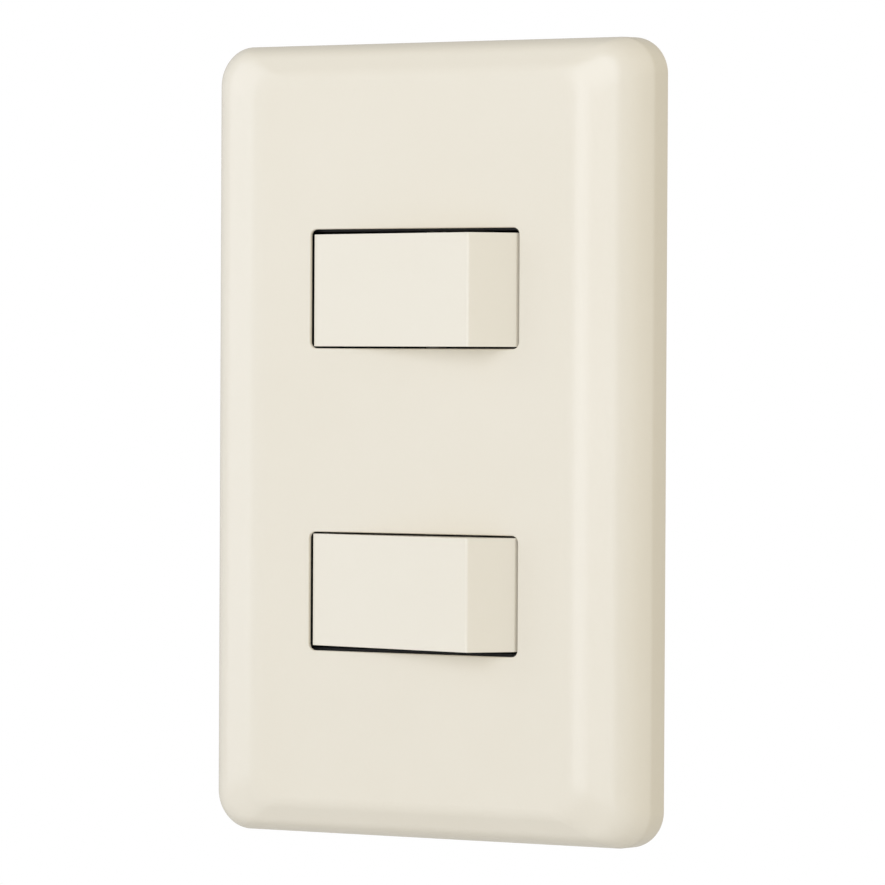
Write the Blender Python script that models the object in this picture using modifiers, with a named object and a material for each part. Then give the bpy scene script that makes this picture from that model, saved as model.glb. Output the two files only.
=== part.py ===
"""Two-gang rocker wall switch: a screwless cover plate, a support frame and two single-pole switch modules.

Lengths are in millimetres and angles in degrees until a shape is finished, and metres after that. X is across
the wall, +Y goes into the wall, +Z is up, and the wall's face is the plane Y = 0. The origin is the middle of
the support frame's back. Each module has its own centre height, Z = +MODULE_Z or -MODULE_Z.
"""

import math

import bmesh
import bpy
from mathutils import Matrix, Vector

MM = 0.001
WELD = 0.002

# Cover plate
PLATE_HALF = (36.5, 59.5)
PLATE_CREASE_HALF = (36.35, 59.35)
PLATE_FLAT_HALF = (25.0, 52.0)
PLATE_FRONT_Y = -10.4
PLATE_CREASE_Y = -3.9
PLATE_CORNER = 5.5
PLATE_FLAT_CORNER = 2.6
PLATE_SWEEP = 50.0
SHELL = 2.1
SHELL_FRONT_Y = -8.8
SHELL_CREASE_Y = -2.6

# Windows in the plate
MODULE_Z = 22.35
WINDOW_Z = 22.58
WINDOW_HALF = (17.4, 8.875)
WINDOW_CORNER = 1.0
WINDOW_LAND_Y = -9.6
WINDOW_REBATE_HALF = (18.6, 9.9)

# Support frame
FRAME_HALF = (30.4, 53.0)
FRAME_CORNER = 4.0
FRAME_THICK = 2.0
OPENING_HALF = (21.3, 11.0)
BOX_SCREW_Z = 41.75
CATCH_Z = 36.0

# Rocker, measured from its pivot
PIVOT_Y = -3.0
ROCKER_REACH = 18.3
ROCKER_LEFT_DEPTH = -6.9
ROCKER_RIGHT_DEPTH = -7.2
ROCKER_CREASE = (11.5, -12.3)
ROCKER_HALF_Z = 8.35
ROCKER_WALL = 1.25
ROCKER_REST_TILT = -10.0
PIN_RADIUS = 1.5
PIN_HOLE_RADIUS = 1.7
PIN_END_Z = 9.6

# Plunger and its bore, as distances from the pivot along the stem
STEM_RADIUS = 2.5
STEM_END = 4.2
BORE_RADIUS = 1.65
BORE_END = -7.6
PLUNGER_RADIUS = 1.45
PLUNGER_TOP = -0.5
PLUNGER_TIP = 12.4
SPRING_RADIUS = 1.2
SPRING_WIRE = 0.17
SPRING_TURNS = 7

# Rocker housing and rear casing, about a module's centre
HOUSING_HALF = (20.6, 10.2)
HOUSING_INNER_HALF = (18.9, 8.75)
HOUSING_FRONT_Y = -8.3
HOUSING_BACK_Y = 3.0
FLANGE_HALF = (23.5, 12.0)
FLANGE_Y = (-3.8, -2.3)
CASING_HALF = (19.3, 10.2)
CASING_INNER_HALF = (17.9, 8.7)
CASING_Y = (3.3, 23.0)
CASING_FLOOR_Y = 21.4

# See-saw contact and terminals, about a module's centre
ARM_PIVOT_Y = 10.5
ARM_REST = 6.0
ARM_VEE = 10.0
ARM_LENGTH = 9.0
ARM_THICK = 0.8
CONTACT_ALONG = 7.6
STRIP_THICK = 0.75
COMMON_STRIP_Y = 10.95
LOAD_STRIP_Y = 11.85
TAIL_X = (11.5, 12.3)
TAIL_END_Y = 19.3
CLAMP_X = (10.3, 16.9)
CLAMP_Y = (13.4, 19.6)
CLAMP_HALF_Z = 3.4
TERMINAL_Y = 16.5
WIRE_X = 14.1
WIRE_HOLE_RADIUS = 1.7
SCREW_OPENING_RADIUS = 3.1

MODULES = (("upper_", MODULE_Z), ("lower_", -MODULE_Z))

# name: (red, green, blue, roughness, metallic)
FINISHES = {
    "ivory_plastic": (0.86, 0.80, 0.69, 0.32, 0.0),
    "black_plastic": (0.012, 0.012, 0.013, 0.45, 0.0),
    "grey_nylon": (0.10, 0.105, 0.11, 0.55, 0.0),
    "acetal": (0.88, 0.88, 0.85, 0.35, 0.0),
    "zinc_steel": (0.62, 0.63, 0.64, 0.30, 1.0),
    "spring_steel": (0.55, 0.55, 0.56, 0.28, 1.0),
    "brass": (0.80, 0.60, 0.28, 0.30, 1.0),
    "silver": (0.90, 0.90, 0.88, 0.22, 1.0),
}


def collection(name, hidden=False):
    made = bpy.data.collections.new(name)
    bpy.context.scene.collection.children.link(made)
    made.hide_render = hidden
    return made


def clear_scene():
    for obj in list(bpy.data.objects):
        bpy.data.objects.remove(obj, do_unlink=True)


clear_scene()
PARTS = collection("two_gang_rocker_switch")
CUTTERS = collection("cutters", hidden=True)


# ---------------------------------------------------------------- shapes


def finish_mesh(name, shape, origin):
    """The bmesh, in millimetres in world space, as an object whose origin is at the given point."""
    bmesh.ops.remove_doubles(shape, verts=shape.verts, dist=WELD)
    bmesh.ops.recalc_face_normals(shape, faces=shape.faces)
    bmesh.ops.translate(shape, vec=-Vector(origin), verts=shape.verts)
    bmesh.ops.scale(shape, vec=Vector((MM, MM, MM)), verts=shape.verts)
    mesh = bpy.data.meshes.new(name)
    shape.to_mesh(mesh)
    shape.free()
    obj = bpy.data.objects.new(name, mesh)
    obj.location = Vector(origin) * MM
    PARTS.objects.link(obj)
    return obj


def box(name, low, high, origin=(0, 0, 0)):
    shape = bmesh.new()
    size = Vector(high) - Vector(low)
    place = Matrix.Translation((Vector(high) + Vector(low)) / 2) @ Matrix.Diagonal((*size, 1))
    bmesh.ops.create_cube(shape, size=1, matrix=place)
    return finish_mesh(name, shape, origin)


def rod(name, start, end, radius, sides=32, origin=(0, 0, 0)):
    """A plain cylinder between two points."""
    start = Vector(start)
    along = Vector(end) - start
    turn = along.to_track_quat("Z", "Y").to_matrix().to_4x4()
    place = Matrix.Translation(start + along / 2) @ turn
    shape = bmesh.new()
    bmesh.ops.create_cone(
        shape, cap_ends=True, segments=sides, radius1=radius, radius2=radius, depth=along.length, matrix=place
    )
    return finish_mesh(name, shape, origin)


def flat_shape(name, outlines, thickness, place, origin):
    """Flat outlines filled and given a thickness by a 2D curve. An outline inside another is a hole."""
    curve = bpy.data.curves.new(name, "CURVE")
    curve.dimensions = "2D"
    curve.fill_mode = "BOTH"
    curve.extrude = thickness / 2
    for outline in outlines:
        spline = curve.splines.new("POLY")
        spline.points.add(len(outline) - 1)
        for point, (across, up) in zip(spline.points, outline):
            point.co = (across, up, 0, 1)
        spline.use_cyclic_u = True
    guide = bpy.data.objects.new(name, curve)
    PARTS.objects.link(guide)
    graph = bpy.context.evaluated_depsgraph_get()
    mesh = bpy.data.meshes.new_from_object(guide.evaluated_get(graph))
    shape = bmesh.new()
    shape.from_mesh(mesh)
    bmesh.ops.remove_doubles(shape, verts=shape.verts, dist=WELD)
    bmesh.ops.dissolve_limit(shape, angle_limit=0.01, verts=shape.verts, edges=shape.edges)
    bmesh.ops.transform(shape, matrix=place, verts=shape.verts)
    bpy.data.objects.remove(guide, do_unlink=True)
    bpy.data.curves.remove(curve)
    bpy.data.meshes.remove(mesh)
    return finish_mesh(name, shape, origin)


def upright_slab(name, outlines, low_z, high_z, origin=(0, 0, 0)):
    """Outlines in X and Y, carried up from low_z to high_z."""
    place = Matrix.Translation((0, 0, (low_z + high_z) / 2))
    return flat_shape(name, outlines, high_z - low_z, place, origin)


def wall_slab(name, outlines, front_y, back_y, origin=(0, 0, 0)):
    """Outlines in X and Z, carried from front_y back to back_y."""
    place = Matrix.Translation((0, (front_y + back_y) / 2, 0)) @ Matrix.Rotation(math.radians(90), 4, "X")
    return flat_shape(name, outlines, back_y - front_y, place, origin)


def turned(name, profile, origin, axis, sides=24):
    """A Screw modifier turns the profile of (radius, height) points, listed from top to bottom."""
    mesh = bpy.data.meshes.new(name)
    points = [(radius * MM, 0, height * MM) for radius, height in profile]
    edges = [(i, i + 1) for i in range(len(points) - 1)]
    mesh.from_pydata(points, edges, [])
    obj = bpy.data.objects.new(name, mesh)
    obj.location = Vector(origin) * MM
    obj.rotation_euler = Vector(axis).to_track_quat("Z", "Y").to_euler()
    PARTS.objects.link(obj)
    spin = obj.modifiers.new("turn", "SCREW")
    spin.steps = sides
    spin.render_steps = sides
    spin.use_merge_vertices = True
    spin.merge_threshold = 1e-6
    return obj


def combine(obj, operation, tools):
    for tool in tools:
        PARTS.objects.unlink(tool)
        CUTTERS.objects.link(tool)
        tool.hide_render = True
        tool.display_type = "WIRE"
        boolean = obj.modifiers.new(tool.name, "BOOLEAN")
        boolean.operation = operation
        boolean.object = tool
    return obj


def cut(obj, *tools):
    return combine(obj, "DIFFERENCE", tools)


def join(obj, *tools):
    return combine(obj, "UNION", tools)


def rounded_rectangle(half, radius, centre=(0, 0), steps=6, radius_up=None):
    """Points of a rectangle with quarter-ellipse corners, anticlockwise."""
    radius_up = radius_up or radius
    points = []
    for quarter, (side, up) in enumerate(((1, 1), (-1, 1), (-1, -1), (1, -1))):
        for step in range(steps + 1):
            angle = math.radians(90 * (quarter + step / steps))
            x = centre[0] + side * (half[0] - radius) + radius * math.cos(angle)
            z = centre[1] + up * (half[1] - radius_up) + radius_up * math.sin(angle)
            points.append((x, z))
    return points


def arc(radius, start, end, steps):
    """Points on a circle about the origin, from one angle to another."""
    angles = [math.radians(start + (end - start) * step / steps) for step in range(steps + 1)]
    return [(radius * math.cos(a), radius * math.sin(a)) for a in angles]


def rotated(points, degrees):
    c, s = math.cos(math.radians(degrees)), math.sin(math.radians(degrees))
    return [(c * x - s * y, s * x + c * y) for x, y in points]


def shifted(points, across, up):
    return [(x + across, y + up) for x, y in points]


def mirrored(points, side):
    """The outline itself for side +1, or its mirror image in X for side -1."""
    return points if side > 0 else [(-x, y) for x, y in reversed(points)]


# ---------------------------------------------------------------- cover plate


def bowl_rings(rim, crease, flat, corners, crease_y, front_y, steps):
    """Rings of the plate's side wall and of its margin, which curves from the crease up to the flat front."""
    rings = [(rim, corners[0], 0.0)]
    sweep = math.radians(PLATE_SWEEP)
    for step in range(steps + 1):
        angle = sweep * (1 - step / steps)
        out = math.sin(angle) / math.sin(sweep)
        fall = (math.cos(angle) - math.cos(sweep)) / (1 - math.cos(sweep))
        half = [f + (c - f) * out for f, c in zip(flat, crease)]
        corner = corners[1] + (corners[0] - corners[1]) * out
        rings.append((half, corner, crease_y + (front_y - crease_y) * fall))
    return rings


def loft(name, rings):
    """A closed skin through rounded rectangles of (half size, corner, Y), capped at its first and last."""
    shape = bmesh.new()
    loops = []
    for half, corner, y in rings:
        outline = rounded_rectangle(half, corner)
        loops.append([shape.verts.new((x, y, z)) for x, z in outline])
    for near, far in zip(loops, loops[1:]):
        for i in range(len(near)):
            j = (i + 1) % len(near)
            shape.faces.new((near[i], near[j], far[j], far[i]))
    shape.faces.new(loops[0])
    shape.faces.new(loops[-1])
    return finish_mesh(name, shape, (0, 0, 0))


def make_cover_plate():
    outer = bowl_rings(
        PLATE_HALF, PLATE_CREASE_HALF, PLATE_FLAT_HALF, (PLATE_CORNER, PLATE_FLAT_CORNER),
        PLATE_CREASE_Y, PLATE_FRONT_Y, 8,
    )
    inner = bowl_rings(
        [h - SHELL for h in PLATE_HALF], [h - SHELL for h in PLATE_CREASE_HALF],
        [h - 0.4 for h in PLATE_FLAT_HALF], (PLATE_CORNER - SHELL, PLATE_FLAT_CORNER - 0.4),
        SHELL_CREASE_Y, SHELL_FRONT_Y, 5,
    )
    plate = loft("cover_plate", inner[::-1] + outer)
    for side in (-1, 1):
        for z in (-CATCH_Z, CATCH_Z):
            inner_x, outer_x = sorted((side * 31.7, side * 33.0))
            tab = box("hook", (inner_x, -6.6, z - 4), (outer_x, -0.9, z + 4))
            inner_x, outer_x = sorted((side * 30.75, side * 32.0))
            nub = box("hook_nub", (inner_x, -2.5, z - 4), (outer_x, -1.2, z + 4))
            join(plate, tab, nub)
    for sign in (1, -1):
        centre = (0, sign * WINDOW_Z)
        window = rounded_rectangle(WINDOW_HALF, WINDOW_CORNER, centre, 4)
        rebate = rounded_rectangle(WINDOW_REBATE_HALF, WINDOW_CORNER, centre, 2)
        cut(plate, wall_slab("window_cutter", [window], PLATE_FRONT_Y - 1, SHELL_FRONT_Y + 1))
        cut(plate, wall_slab("rebate_cutter", [rebate], WINDOW_LAND_Y, SHELL_FRONT_Y + 1))
    notch_z = -PLATE_HALF[1]
    cut(plate, box("lever_notch", (-4, -1.2, notch_z - 1), (4, 1, notch_z + SHELL + 1)))
    return plate


# ---------------------------------------------------------------- support frame


def module_opening(centre_z):
    """A module's opening, with a pair of slits above and below that free a springy tongue."""
    half_x, half_z = OPENING_HALF
    slit_in, slit_out, depth = 6.6, 7.4, 2.5
    upper_edge = []
    for x in (-slit_out, slit_in):
        upper_edge += [(x, half_z), (x, half_z + depth), (x + 0.8, half_z + depth), (x + 0.8, half_z)]
    top = [(-half_x, half_z)] + upper_edge + [(half_x, half_z)]
    bottom = [(x, -z) for x, z in reversed(top)]
    return shifted(top + bottom, 0, centre_z)


def obround(half_length, radius, centre):
    right = shifted(arc(radius, -90, 90, 8), half_length - radius, 0)
    left = shifted(arc(radius, 90, 270, 8), radius - half_length, 0)
    return shifted(right + left, *centre)


def stiffening_bars():
    """Two upright and two level bars around the modules' flanges, on the front of the frame."""
    root = 0.2 - FRAME_THICK
    bars = []
    for side in (-1, 1):
        near, far = sorted((side * 24.2, side * 25.2))
        bars.append(box("upright_bar", (near, -3.4, -37.0), (far, root, 37.0)))
        low, high = sorted((side * 36.0, side * 36.9))
        bars.append(box("level_bar", (-24.7, -3.3, low), (24.7, root - 0.05, high)))
    return bars


def make_edge_rib():
    """The low wall round the frame's edge."""
    outer = rounded_rectangle([h - 0.1 for h in FRAME_HALF], FRAME_CORNER - 0.1, steps=4)
    return wall_slab("edge_rib", [outer], -3.9, 0.2 - FRAME_THICK)


def make_support_frame():
    outer = rounded_rectangle(FRAME_HALF, FRAME_CORNER, steps=4)
    frame = wall_slab("support_frame", [outer], -FRAME_THICK, 0)
    tray = rounded_rectangle([h - 1.4 for h in FRAME_HALF], FRAME_CORNER - 1.4, steps=4)
    join(frame, make_edge_rib())
    cut(frame, wall_slab("tray", [tray], -6, -FRAME_THICK + 0.1))
    join(frame, *stiffening_bars())
    for side in (-1, 1):
        for z in (-CATCH_Z, CATCH_Z):
            near, far = sorted((side * 29.6, side * 31.3))
            join(frame, box("catch_ledge", (near, -3.8, z - 5), (far, -2.9, z + 5)))
    holes = [module_opening(z) for z in (MODULE_Z, -MODULE_Z)]
    holes += [obround(3.5, 2.1, (0, z)) for z in (BOX_SCREW_Z, -BOX_SCREW_Z)]
    holes += [shifted(arc(1.7, 0, 345, 23), x, 0) for x in (27.1, -27.1)]
    holes += [obround(5, 1.2, (x, z)) for x in (-18, 18) for z in (47, -47)]
    cut(frame, *(wall_slab("frame_hole", [hole], -FRAME_THICK - 3, 1) for hole in holes))
    return frame


def dome_profile(radius, height, rise, steps=4):
    """Points of a domed head, from its middle on the axis to its edge."""
    points = []
    for step in range(steps + 1):
        angle = math.radians(90 * step / steps)
        points.append((radius * math.sin(angle), height + rise * math.cos(angle)))
    points[0] = (0, height + rise)
    return points


def make_box_screw(name, z):
    """A pan head in front of the frame, and a shank that goes back into the wall box."""
    head = dome_profile(3.4, 1.0, 1.0)
    shank = [(3.3, 0.0), (1.7, 0.0), (1.7, -23.0), (0.9, -24.2), (0, -24.2)]
    screw = turned(name, head + shank, (0, -2.3, z), (0, -1, 0))
    for half_x, half_z in ((0.45, 2.0), (2.0, 0.45)):
        slot = box("cross_slot", (-half_x, -5, z - half_z), (half_x, -3.2, z + half_z))
        cut(screw, slot)
    return screw


# ---------------------------------------------------------------- switch module


def stem_point(along, across=0.0):
    """A point in X and Y from the pivot, on the plunger's axis at rest or beside it."""
    return rotated([(across, along)], ROCKER_REST_TILT)[0]


def rocker_outline():
    reach = ROCKER_REACH
    left_top = 180 + math.degrees(math.asin(-ROCKER_LEFT_DEPTH / reach))
    right_top = -math.degrees(math.asin(-ROCKER_RIGHT_DEPTH / reach))
    left_wall = arc(reach, left_top, 178.4, 6)
    right_wall = arc(reach, -8.0, right_top, 5)
    return left_wall + right_wall + [ROCKER_CREASE]


def make_rocker(prefix, centre_z):
    pivot = (0, PIVOT_Y, centre_z)
    outline = rocker_outline()
    across = 1 - ROCKER_WALL / ROCKER_REACH
    deep = 1 - ROCKER_WALL / 10.2
    hollow = [(x * across, y * deep) for x, y in outline]
    mouth = [(x, y + 3.0) for x, y in (hollow[6], hollow[7])]
    hollow = hollow[:7] + mouth + hollow[7:]
    half, inner = ROCKER_HALF_Z, ROCKER_HALF_Z - ROCKER_WALL
    low, high = centre_z - half, centre_z + half
    shell = upright_slab(prefix + "rocker", [shifted(outline, 0, PIVOT_Y)], low, high, pivot)
    cut(shell, upright_slab("hollow", [shifted(hollow, 0, PIVOT_Y)], centre_z - inner, centre_z + inner))
    for side in (-1, 1):
        start, ear_end = centre_z + side * (inner - 0.2), centre_z + side * half
        pin_start, pin_end = centre_z + side * (half - 0.5), centre_z + side * PIN_END_Z
        ear = rod("pivot_ear", (0, PIVOT_Y, start), (0, PIVOT_Y, ear_end - side * 0.01), 3.2)
        pin = rod("pivot_pin", (0, PIVOT_Y, pin_start), (0, PIVOT_Y, pin_end), PIN_RADIUS, 24)
        join(shell, ear, pin)
    top = stem_point(-9.4)
    end = stem_point(STEM_END)
    stem = rod("stem", (top[0], top[1] + PIVOT_Y, centre_z), (end[0], end[1] + PIVOT_Y, centre_z), STEM_RADIUS)
    rib = [stem_point(-9.4, -0.5), stem_point(-9.4, 0.5), stem_point(-1.0, 0.5), stem_point(-1.0, -0.5)]
    web = upright_slab("cross_rib", [shifted(rib, 0, PIVOT_Y)], centre_z - inner - 0.2, centre_z + inner + 0.2)
    join(shell, stem, web)
    top = stem_point(BORE_END)
    end = stem_point(STEM_END + 1)
    bore = rod(
        "bore", (top[0], top[1] + PIVOT_Y, centre_z), (end[0], end[1] + PIVOT_Y, centre_z), BORE_RADIUS
    )
    return cut(shell, bore)


def make_plunger(prefix, centre_z):
    """Its origin is on its sliding axis, at the rocker's pivot. Its own +Z points back up the bore."""
    radius = PLUNGER_RADIUS
    shoulder = [(0, -PLUNGER_TOP), (radius - 0.3, -PLUNGER_TOP), (radius, -PLUNGER_TOP - 0.3)]
    tip = [(radius * math.cos(a), -(PLUNGER_TIP - radius) - radius * math.sin(a))
           for a in (math.radians(18 * step) for step in range(6))]
    tip[-1] = (0, -PLUNGER_TIP)
    back = stem_point(-1)
    return turned(prefix + "plunger", shoulder + tip, (0, PIVOT_Y, centre_z), (*back, 0))


def make_plunger_spring(prefix, centre_z):
    """A coil between the bottom of the bore and the plunger's top."""
    start, end = BORE_END + 0.5, PLUNGER_TOP - 0.5
    per_turn = 10
    count = SPRING_TURNS * per_turn
    curve = bpy.data.curves.new(prefix + "plunger_spring", "CURVE")
    curve.dimensions = "3D"
    curve.bevel_depth = SPRING_WIRE * MM
    curve.bevel_resolution = 2
    curve.use_fill_caps = True
    spline = curve.splines.new("POLY")
    spline.points.add(count)
    for step, point in enumerate(spline.points):
        angle = 2 * math.pi * step / per_turn
        along = start + (end - start) * step / count
        x, y = stem_point(along, SPRING_RADIUS * math.cos(angle))
        point.co = (x * MM, y * MM, SPRING_RADIUS * math.sin(angle) * MM, 1)
    spring = bpy.data.objects.new(prefix + "plunger_spring", curve)
    spring.location = Vector((0, PIVOT_Y, centre_z)) * MM
    PARTS.objects.link(spring)
    return spring


def make_rocker_housing(prefix, centre_z):
    """The collar around the rocker. Its flange rests on the frame, and its tongues hold the rear casing."""
    centre = (0, centre_z)
    collar = wall_slab(
        prefix + "rocker_housing", [rounded_rectangle(HOUSING_HALF, 0.8, centre, 2)], HOUSING_FRONT_Y, HOUSING_BACK_Y
    )
    join(collar, wall_slab("flange", [rounded_rectangle(FLANGE_HALF, 1.2, centre, 2)], *FLANGE_Y))
    for side in (-1, 1):
        near, far = sorted((side * 19.65, side * (HOUSING_HALF[0] - 0.02)))
        tongue = box("snap_tongue", (near, HOUSING_BACK_Y - 0.6, centre_z - 4), (far, 9.0, centre_z + 4))
        edge = centre_z + side * (HOUSING_HALF[1] - 0.4)
        low, high = sorted((edge, centre_z + side * 11.5))
        join(collar, tongue, box("frame_lug", (-5, 0.3, low), (5, 2.0, high)))
    inner = rounded_rectangle(HOUSING_INNER_HALF, 0.5, centre, 2)
    cut(collar, wall_slab("hollow", [inner], HOUSING_FRONT_Y - 1, HOUSING_BACK_Y + 1))
    pin_hole = rod(
        "pin_hole", (0, PIVOT_Y, centre_z - 9.9), (0, PIVOT_Y, centre_z + 9.9), PIN_HOLE_RADIUS
    )
    catch_hole = box("catch_hole", (-25, 4.6, centre_z - 2.8), (25, 7.0, centre_z + 2.8))
    return cut(collar, pin_hole, catch_hole)


def make_rear_casing(prefix, centre_z):
    front, back = CASING_Y
    casing = wall_slab(
        prefix + "rear_casing", [rounded_rectangle(CASING_HALF, 1.0, (0, centre_z), 3)], front, back
    )
    inner = rounded_rectangle(CASING_INNER_HALF, 0.5, (0, centre_z), 2)
    cut(casing, wall_slab("hollow", [inner], front - 1, CASING_FLOOR_Y))
    for side in (-1, 1):
        near, far = sorted((side * (CASING_HALF[0] - 0.5), side * 20.3))
        join(casing, box("snap_lug", (near, 5.0, centre_z - 2.4), (far, 6.6, centre_z + 2.4)))
        near, far = sorted((side * CLAMP_X[0], side * (CASING_INNER_HALF[0] + 0.5)))
        for wall in (-1, 1):
            low, high = sorted((centre_z + wall * 3.75, centre_z + wall * 4.65))
            join(casing, box("clamp_guide", (near, CLAMP_Y[0], low), (far, CASING_FLOOR_Y + 0.5, high)))
        near, far = sorted((side * 3.0, side * 4.2))
        low, high = centre_z - CASING_INNER_HALF[1] - 0.3, centre_z + CASING_INNER_HALF[1] + 0.3
        bed_y = 13.1 if side < 0 else 12.1
        join(casing, box("strip_bed", (near, bed_y, low), (far, CASING_FLOOR_Y + 0.5, high)))
        wire = rod(
            "wire_hole", (side * WIRE_X, CASING_FLOOR_Y - 1, centre_z), (side * WIRE_X, back + 1, centre_z),
            WIRE_HOLE_RADIUS,
        )
        opening = rod(
            "screw_opening", (side * 17.0, TERMINAL_Y, centre_z), (side * 21.0, TERMINAL_Y, centre_z),
            SCREW_OPENING_RADIUS,
        )
        cut(casing, wire, opening)
    return casing


def arm_outline():
    """The see-saw's vee, flat at first and then turned to its place at rest."""
    c, s = math.cos(math.radians(ARM_VEE)), math.sin(math.radians(ARM_VEE))
    right_end = (ARM_LENGTH * c, -ARM_LENGTH * s)
    right_top = (right_end[0] - ARM_THICK * s, right_end[1] - ARM_THICK * c)
    valley = (0, -ARM_THICK / c)
    outline = [(0, 0), right_end, right_top, valley, (-right_top[0], right_top[1]), (-right_end[0], right_end[1])]
    return rotated(outline, ARM_REST)


def left_arm_point(along, above):
    """A point beside the left arm's underside at rest, in X and Y from the arm's hinge."""
    c, s = math.cos(math.radians(ARM_VEE)), math.sin(math.radians(ARM_VEE))
    point = (-along * c + above * s, -along * s - above * c)
    return rotated([point], ARM_REST)[0]


def make_contact_arm(prefix, centre_z):
    hinge = (0, ARM_PIVOT_Y, centre_z)
    outline = shifted(arm_outline(), 0, ARM_PIVOT_Y)
    arm = upright_slab(prefix + "contact_arm", [outline], centre_z - 2.5, centre_z + 2.5, hinge)
    below = left_arm_point(CONTACT_ALONG, -1.0)
    above = left_arm_point(CONTACT_ALONG, ARM_THICK + 1.0)
    start = (below[0], below[1] + ARM_PIVOT_Y, centre_z)
    end = (above[0], above[1] + ARM_PIVOT_Y, centre_z)
    return cut(arm, rod("rivet_hole", start, end, 0.75, 20))


def rivet_profile(head_radius, head, grip, tail_radius, tail):
    """A contact rivet, from its formed tail at the top to its contact face."""
    shank_top = head + 0.1
    shank_end = shank_top + grip + 0.1
    return [
        (0, shank_end + tail), (tail_radius - 0.15, shank_end + tail), (tail_radius, shank_end + tail - 0.15),
        (tail_radius, shank_end), (0.6, shank_end), (0.6, head), (head_radius, head), (head_radius, 0.2),
        (head_radius - 0.25, 0.05), (0, 0),
    ]


def make_moving_contact(prefix, centre_z):
    face = left_arm_point(CONTACT_ALONG, -0.8)
    top = left_arm_point(CONTACT_ALONG, 0)
    axis = (top[0] - face[0], top[1] - face[1], 0)
    rivet = rivet_profile(1.3, 0.7, ARM_THICK, 1.0, 0.3)
    origin = (face[0], face[1] + ARM_PIVOT_Y, centre_z)
    return turned(prefix + "moving_contact", rivet, origin, axis)


def make_fixed_contact(prefix, centre_z):
    """It stands on the load strip, just clear of the moving contact when that is down."""
    rivet = rivet_profile(1.3, 0.7, STRIP_THICK, 1.0, 0.3)
    return turned(prefix + "fixed_contact", rivet, (-7.55, LOAD_STRIP_Y - 0.8, centre_z), (0, 1, 0))


def make_common_strip(prefix, centre_z):
    """A raised knife edge carries the see-saw, a dimple stops it, and the tail goes into the clamp."""
    top, bottom = COMMON_STRIP_Y, COMMON_STRIP_Y + STRIP_THICK
    outline = [
        (-1.6, bottom), (-1.6, top), (-0.5, top), (0, top - 0.15), (0.5, top), (6.9, top), (7.3, top - 0.6),
        (8.1, top - 0.6), (8.5, top), (TAIL_X[1], top), (TAIL_X[1], TAIL_END_Y), (TAIL_X[0], TAIL_END_Y),
        (TAIL_X[0], bottom),
    ]
    return upright_slab(prefix + "common_strip", [outline], centre_z - 2.2, centre_z + 2.2)


def make_load_strip(prefix, centre_z):
    top, bottom = LOAD_STRIP_Y, LOAD_STRIP_Y + STRIP_THICK
    outline = [
        (-5.0, bottom), (-5.0, top), (-TAIL_X[1], top), (-TAIL_X[1], TAIL_END_Y), (-TAIL_X[0], TAIL_END_Y),
        (-TAIL_X[0], bottom),
    ]
    strip = upright_slab(prefix + "load_strip", [outline], centre_z - 2.2, centre_z + 2.2)
    hole = rod("rivet_hole", (-7.55, top - 1, centre_z), (-7.55, bottom + 1, centre_z), 0.75, 20)
    return cut(strip, hole)


def make_clamp(name, side, centre_z):
    """A cage around the strip's tail, open along Y for the wire and tapped along X for the screw."""
    near, far = CLAMP_X
    outer = mirrored([(near, CLAMP_Y[0]), (far, CLAMP_Y[0]), (far, CLAMP_Y[1]), (near, CLAMP_Y[1])], side)
    cage = upright_slab(name, [outer], centre_z - CLAMP_HALF_Z, centre_z + CLAMP_HALF_Z)
    low_x, high_x = sorted((side * (near + 0.9), side * (far - 0.9)))
    hollow = box("cage_hollow", (low_x, CLAMP_Y[0] - 1, centre_z - 2.6), (high_x, CLAMP_Y[1] + 1, centre_z + 2.6))
    tapped = rod(
        "tapped_hole", (side * 15.0, TERMINAL_Y, centre_z), (side * 18.0, TERMINAL_Y, centre_z), 1.6, 24
    )
    return cut(cage, hollow, tapped)


def make_terminal_screw(name, side, centre_z):
    profile = [
        (0, 19.0), (2.4, 19.0), (2.7, 18.7), (2.7, 17.5), (1.4, 17.5), (1.4, 15.3), (1.1, 15.0), (0, 15.0),
    ]
    screw = turned(name, profile, (0, TERMINAL_Y, centre_z), (side, 0, 0))
    low_x, high_x = sorted((side * 18.2, side * 20.0))
    slots = []
    for half_y, half_z in ((0.4, 1.7), (1.7, 0.4)):
        low = (low_x, TERMINAL_Y - half_y, centre_z - half_z)
        high = (high_x, TERMINAL_Y + half_y, centre_z + half_z)
        slots.append(box("cross_slot", low, high))
    return cut(screw, *slots)


# ---------------------------------------------------------------- materials and assembly


def material(finish):
    made = bpy.data.materials.new(finish)
    made.use_nodes = True
    red, green, blue, roughness, metallic = FINISHES[finish]
    shader = made.node_tree.nodes["Principled BSDF"]
    shader.inputs["Base Color"].default_value = (red, green, blue, 1)
    shader.inputs["Roughness"].default_value = roughness
    shader.inputs["Metallic"].default_value = metallic
    made.diffuse_color = (red, green, blue, 1)
    return made


def paint(obj, finish):
    """Each piece has a material of its own."""
    made = material(finish)
    made.name = obj.name
    obj.data.materials.clear()
    obj.data.materials.append(made)
    if obj.type == "MESH":
        obj.data.shade_smooth()
        obj.data.set_sharp_from_angle(angle=math.radians(30))


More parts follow.
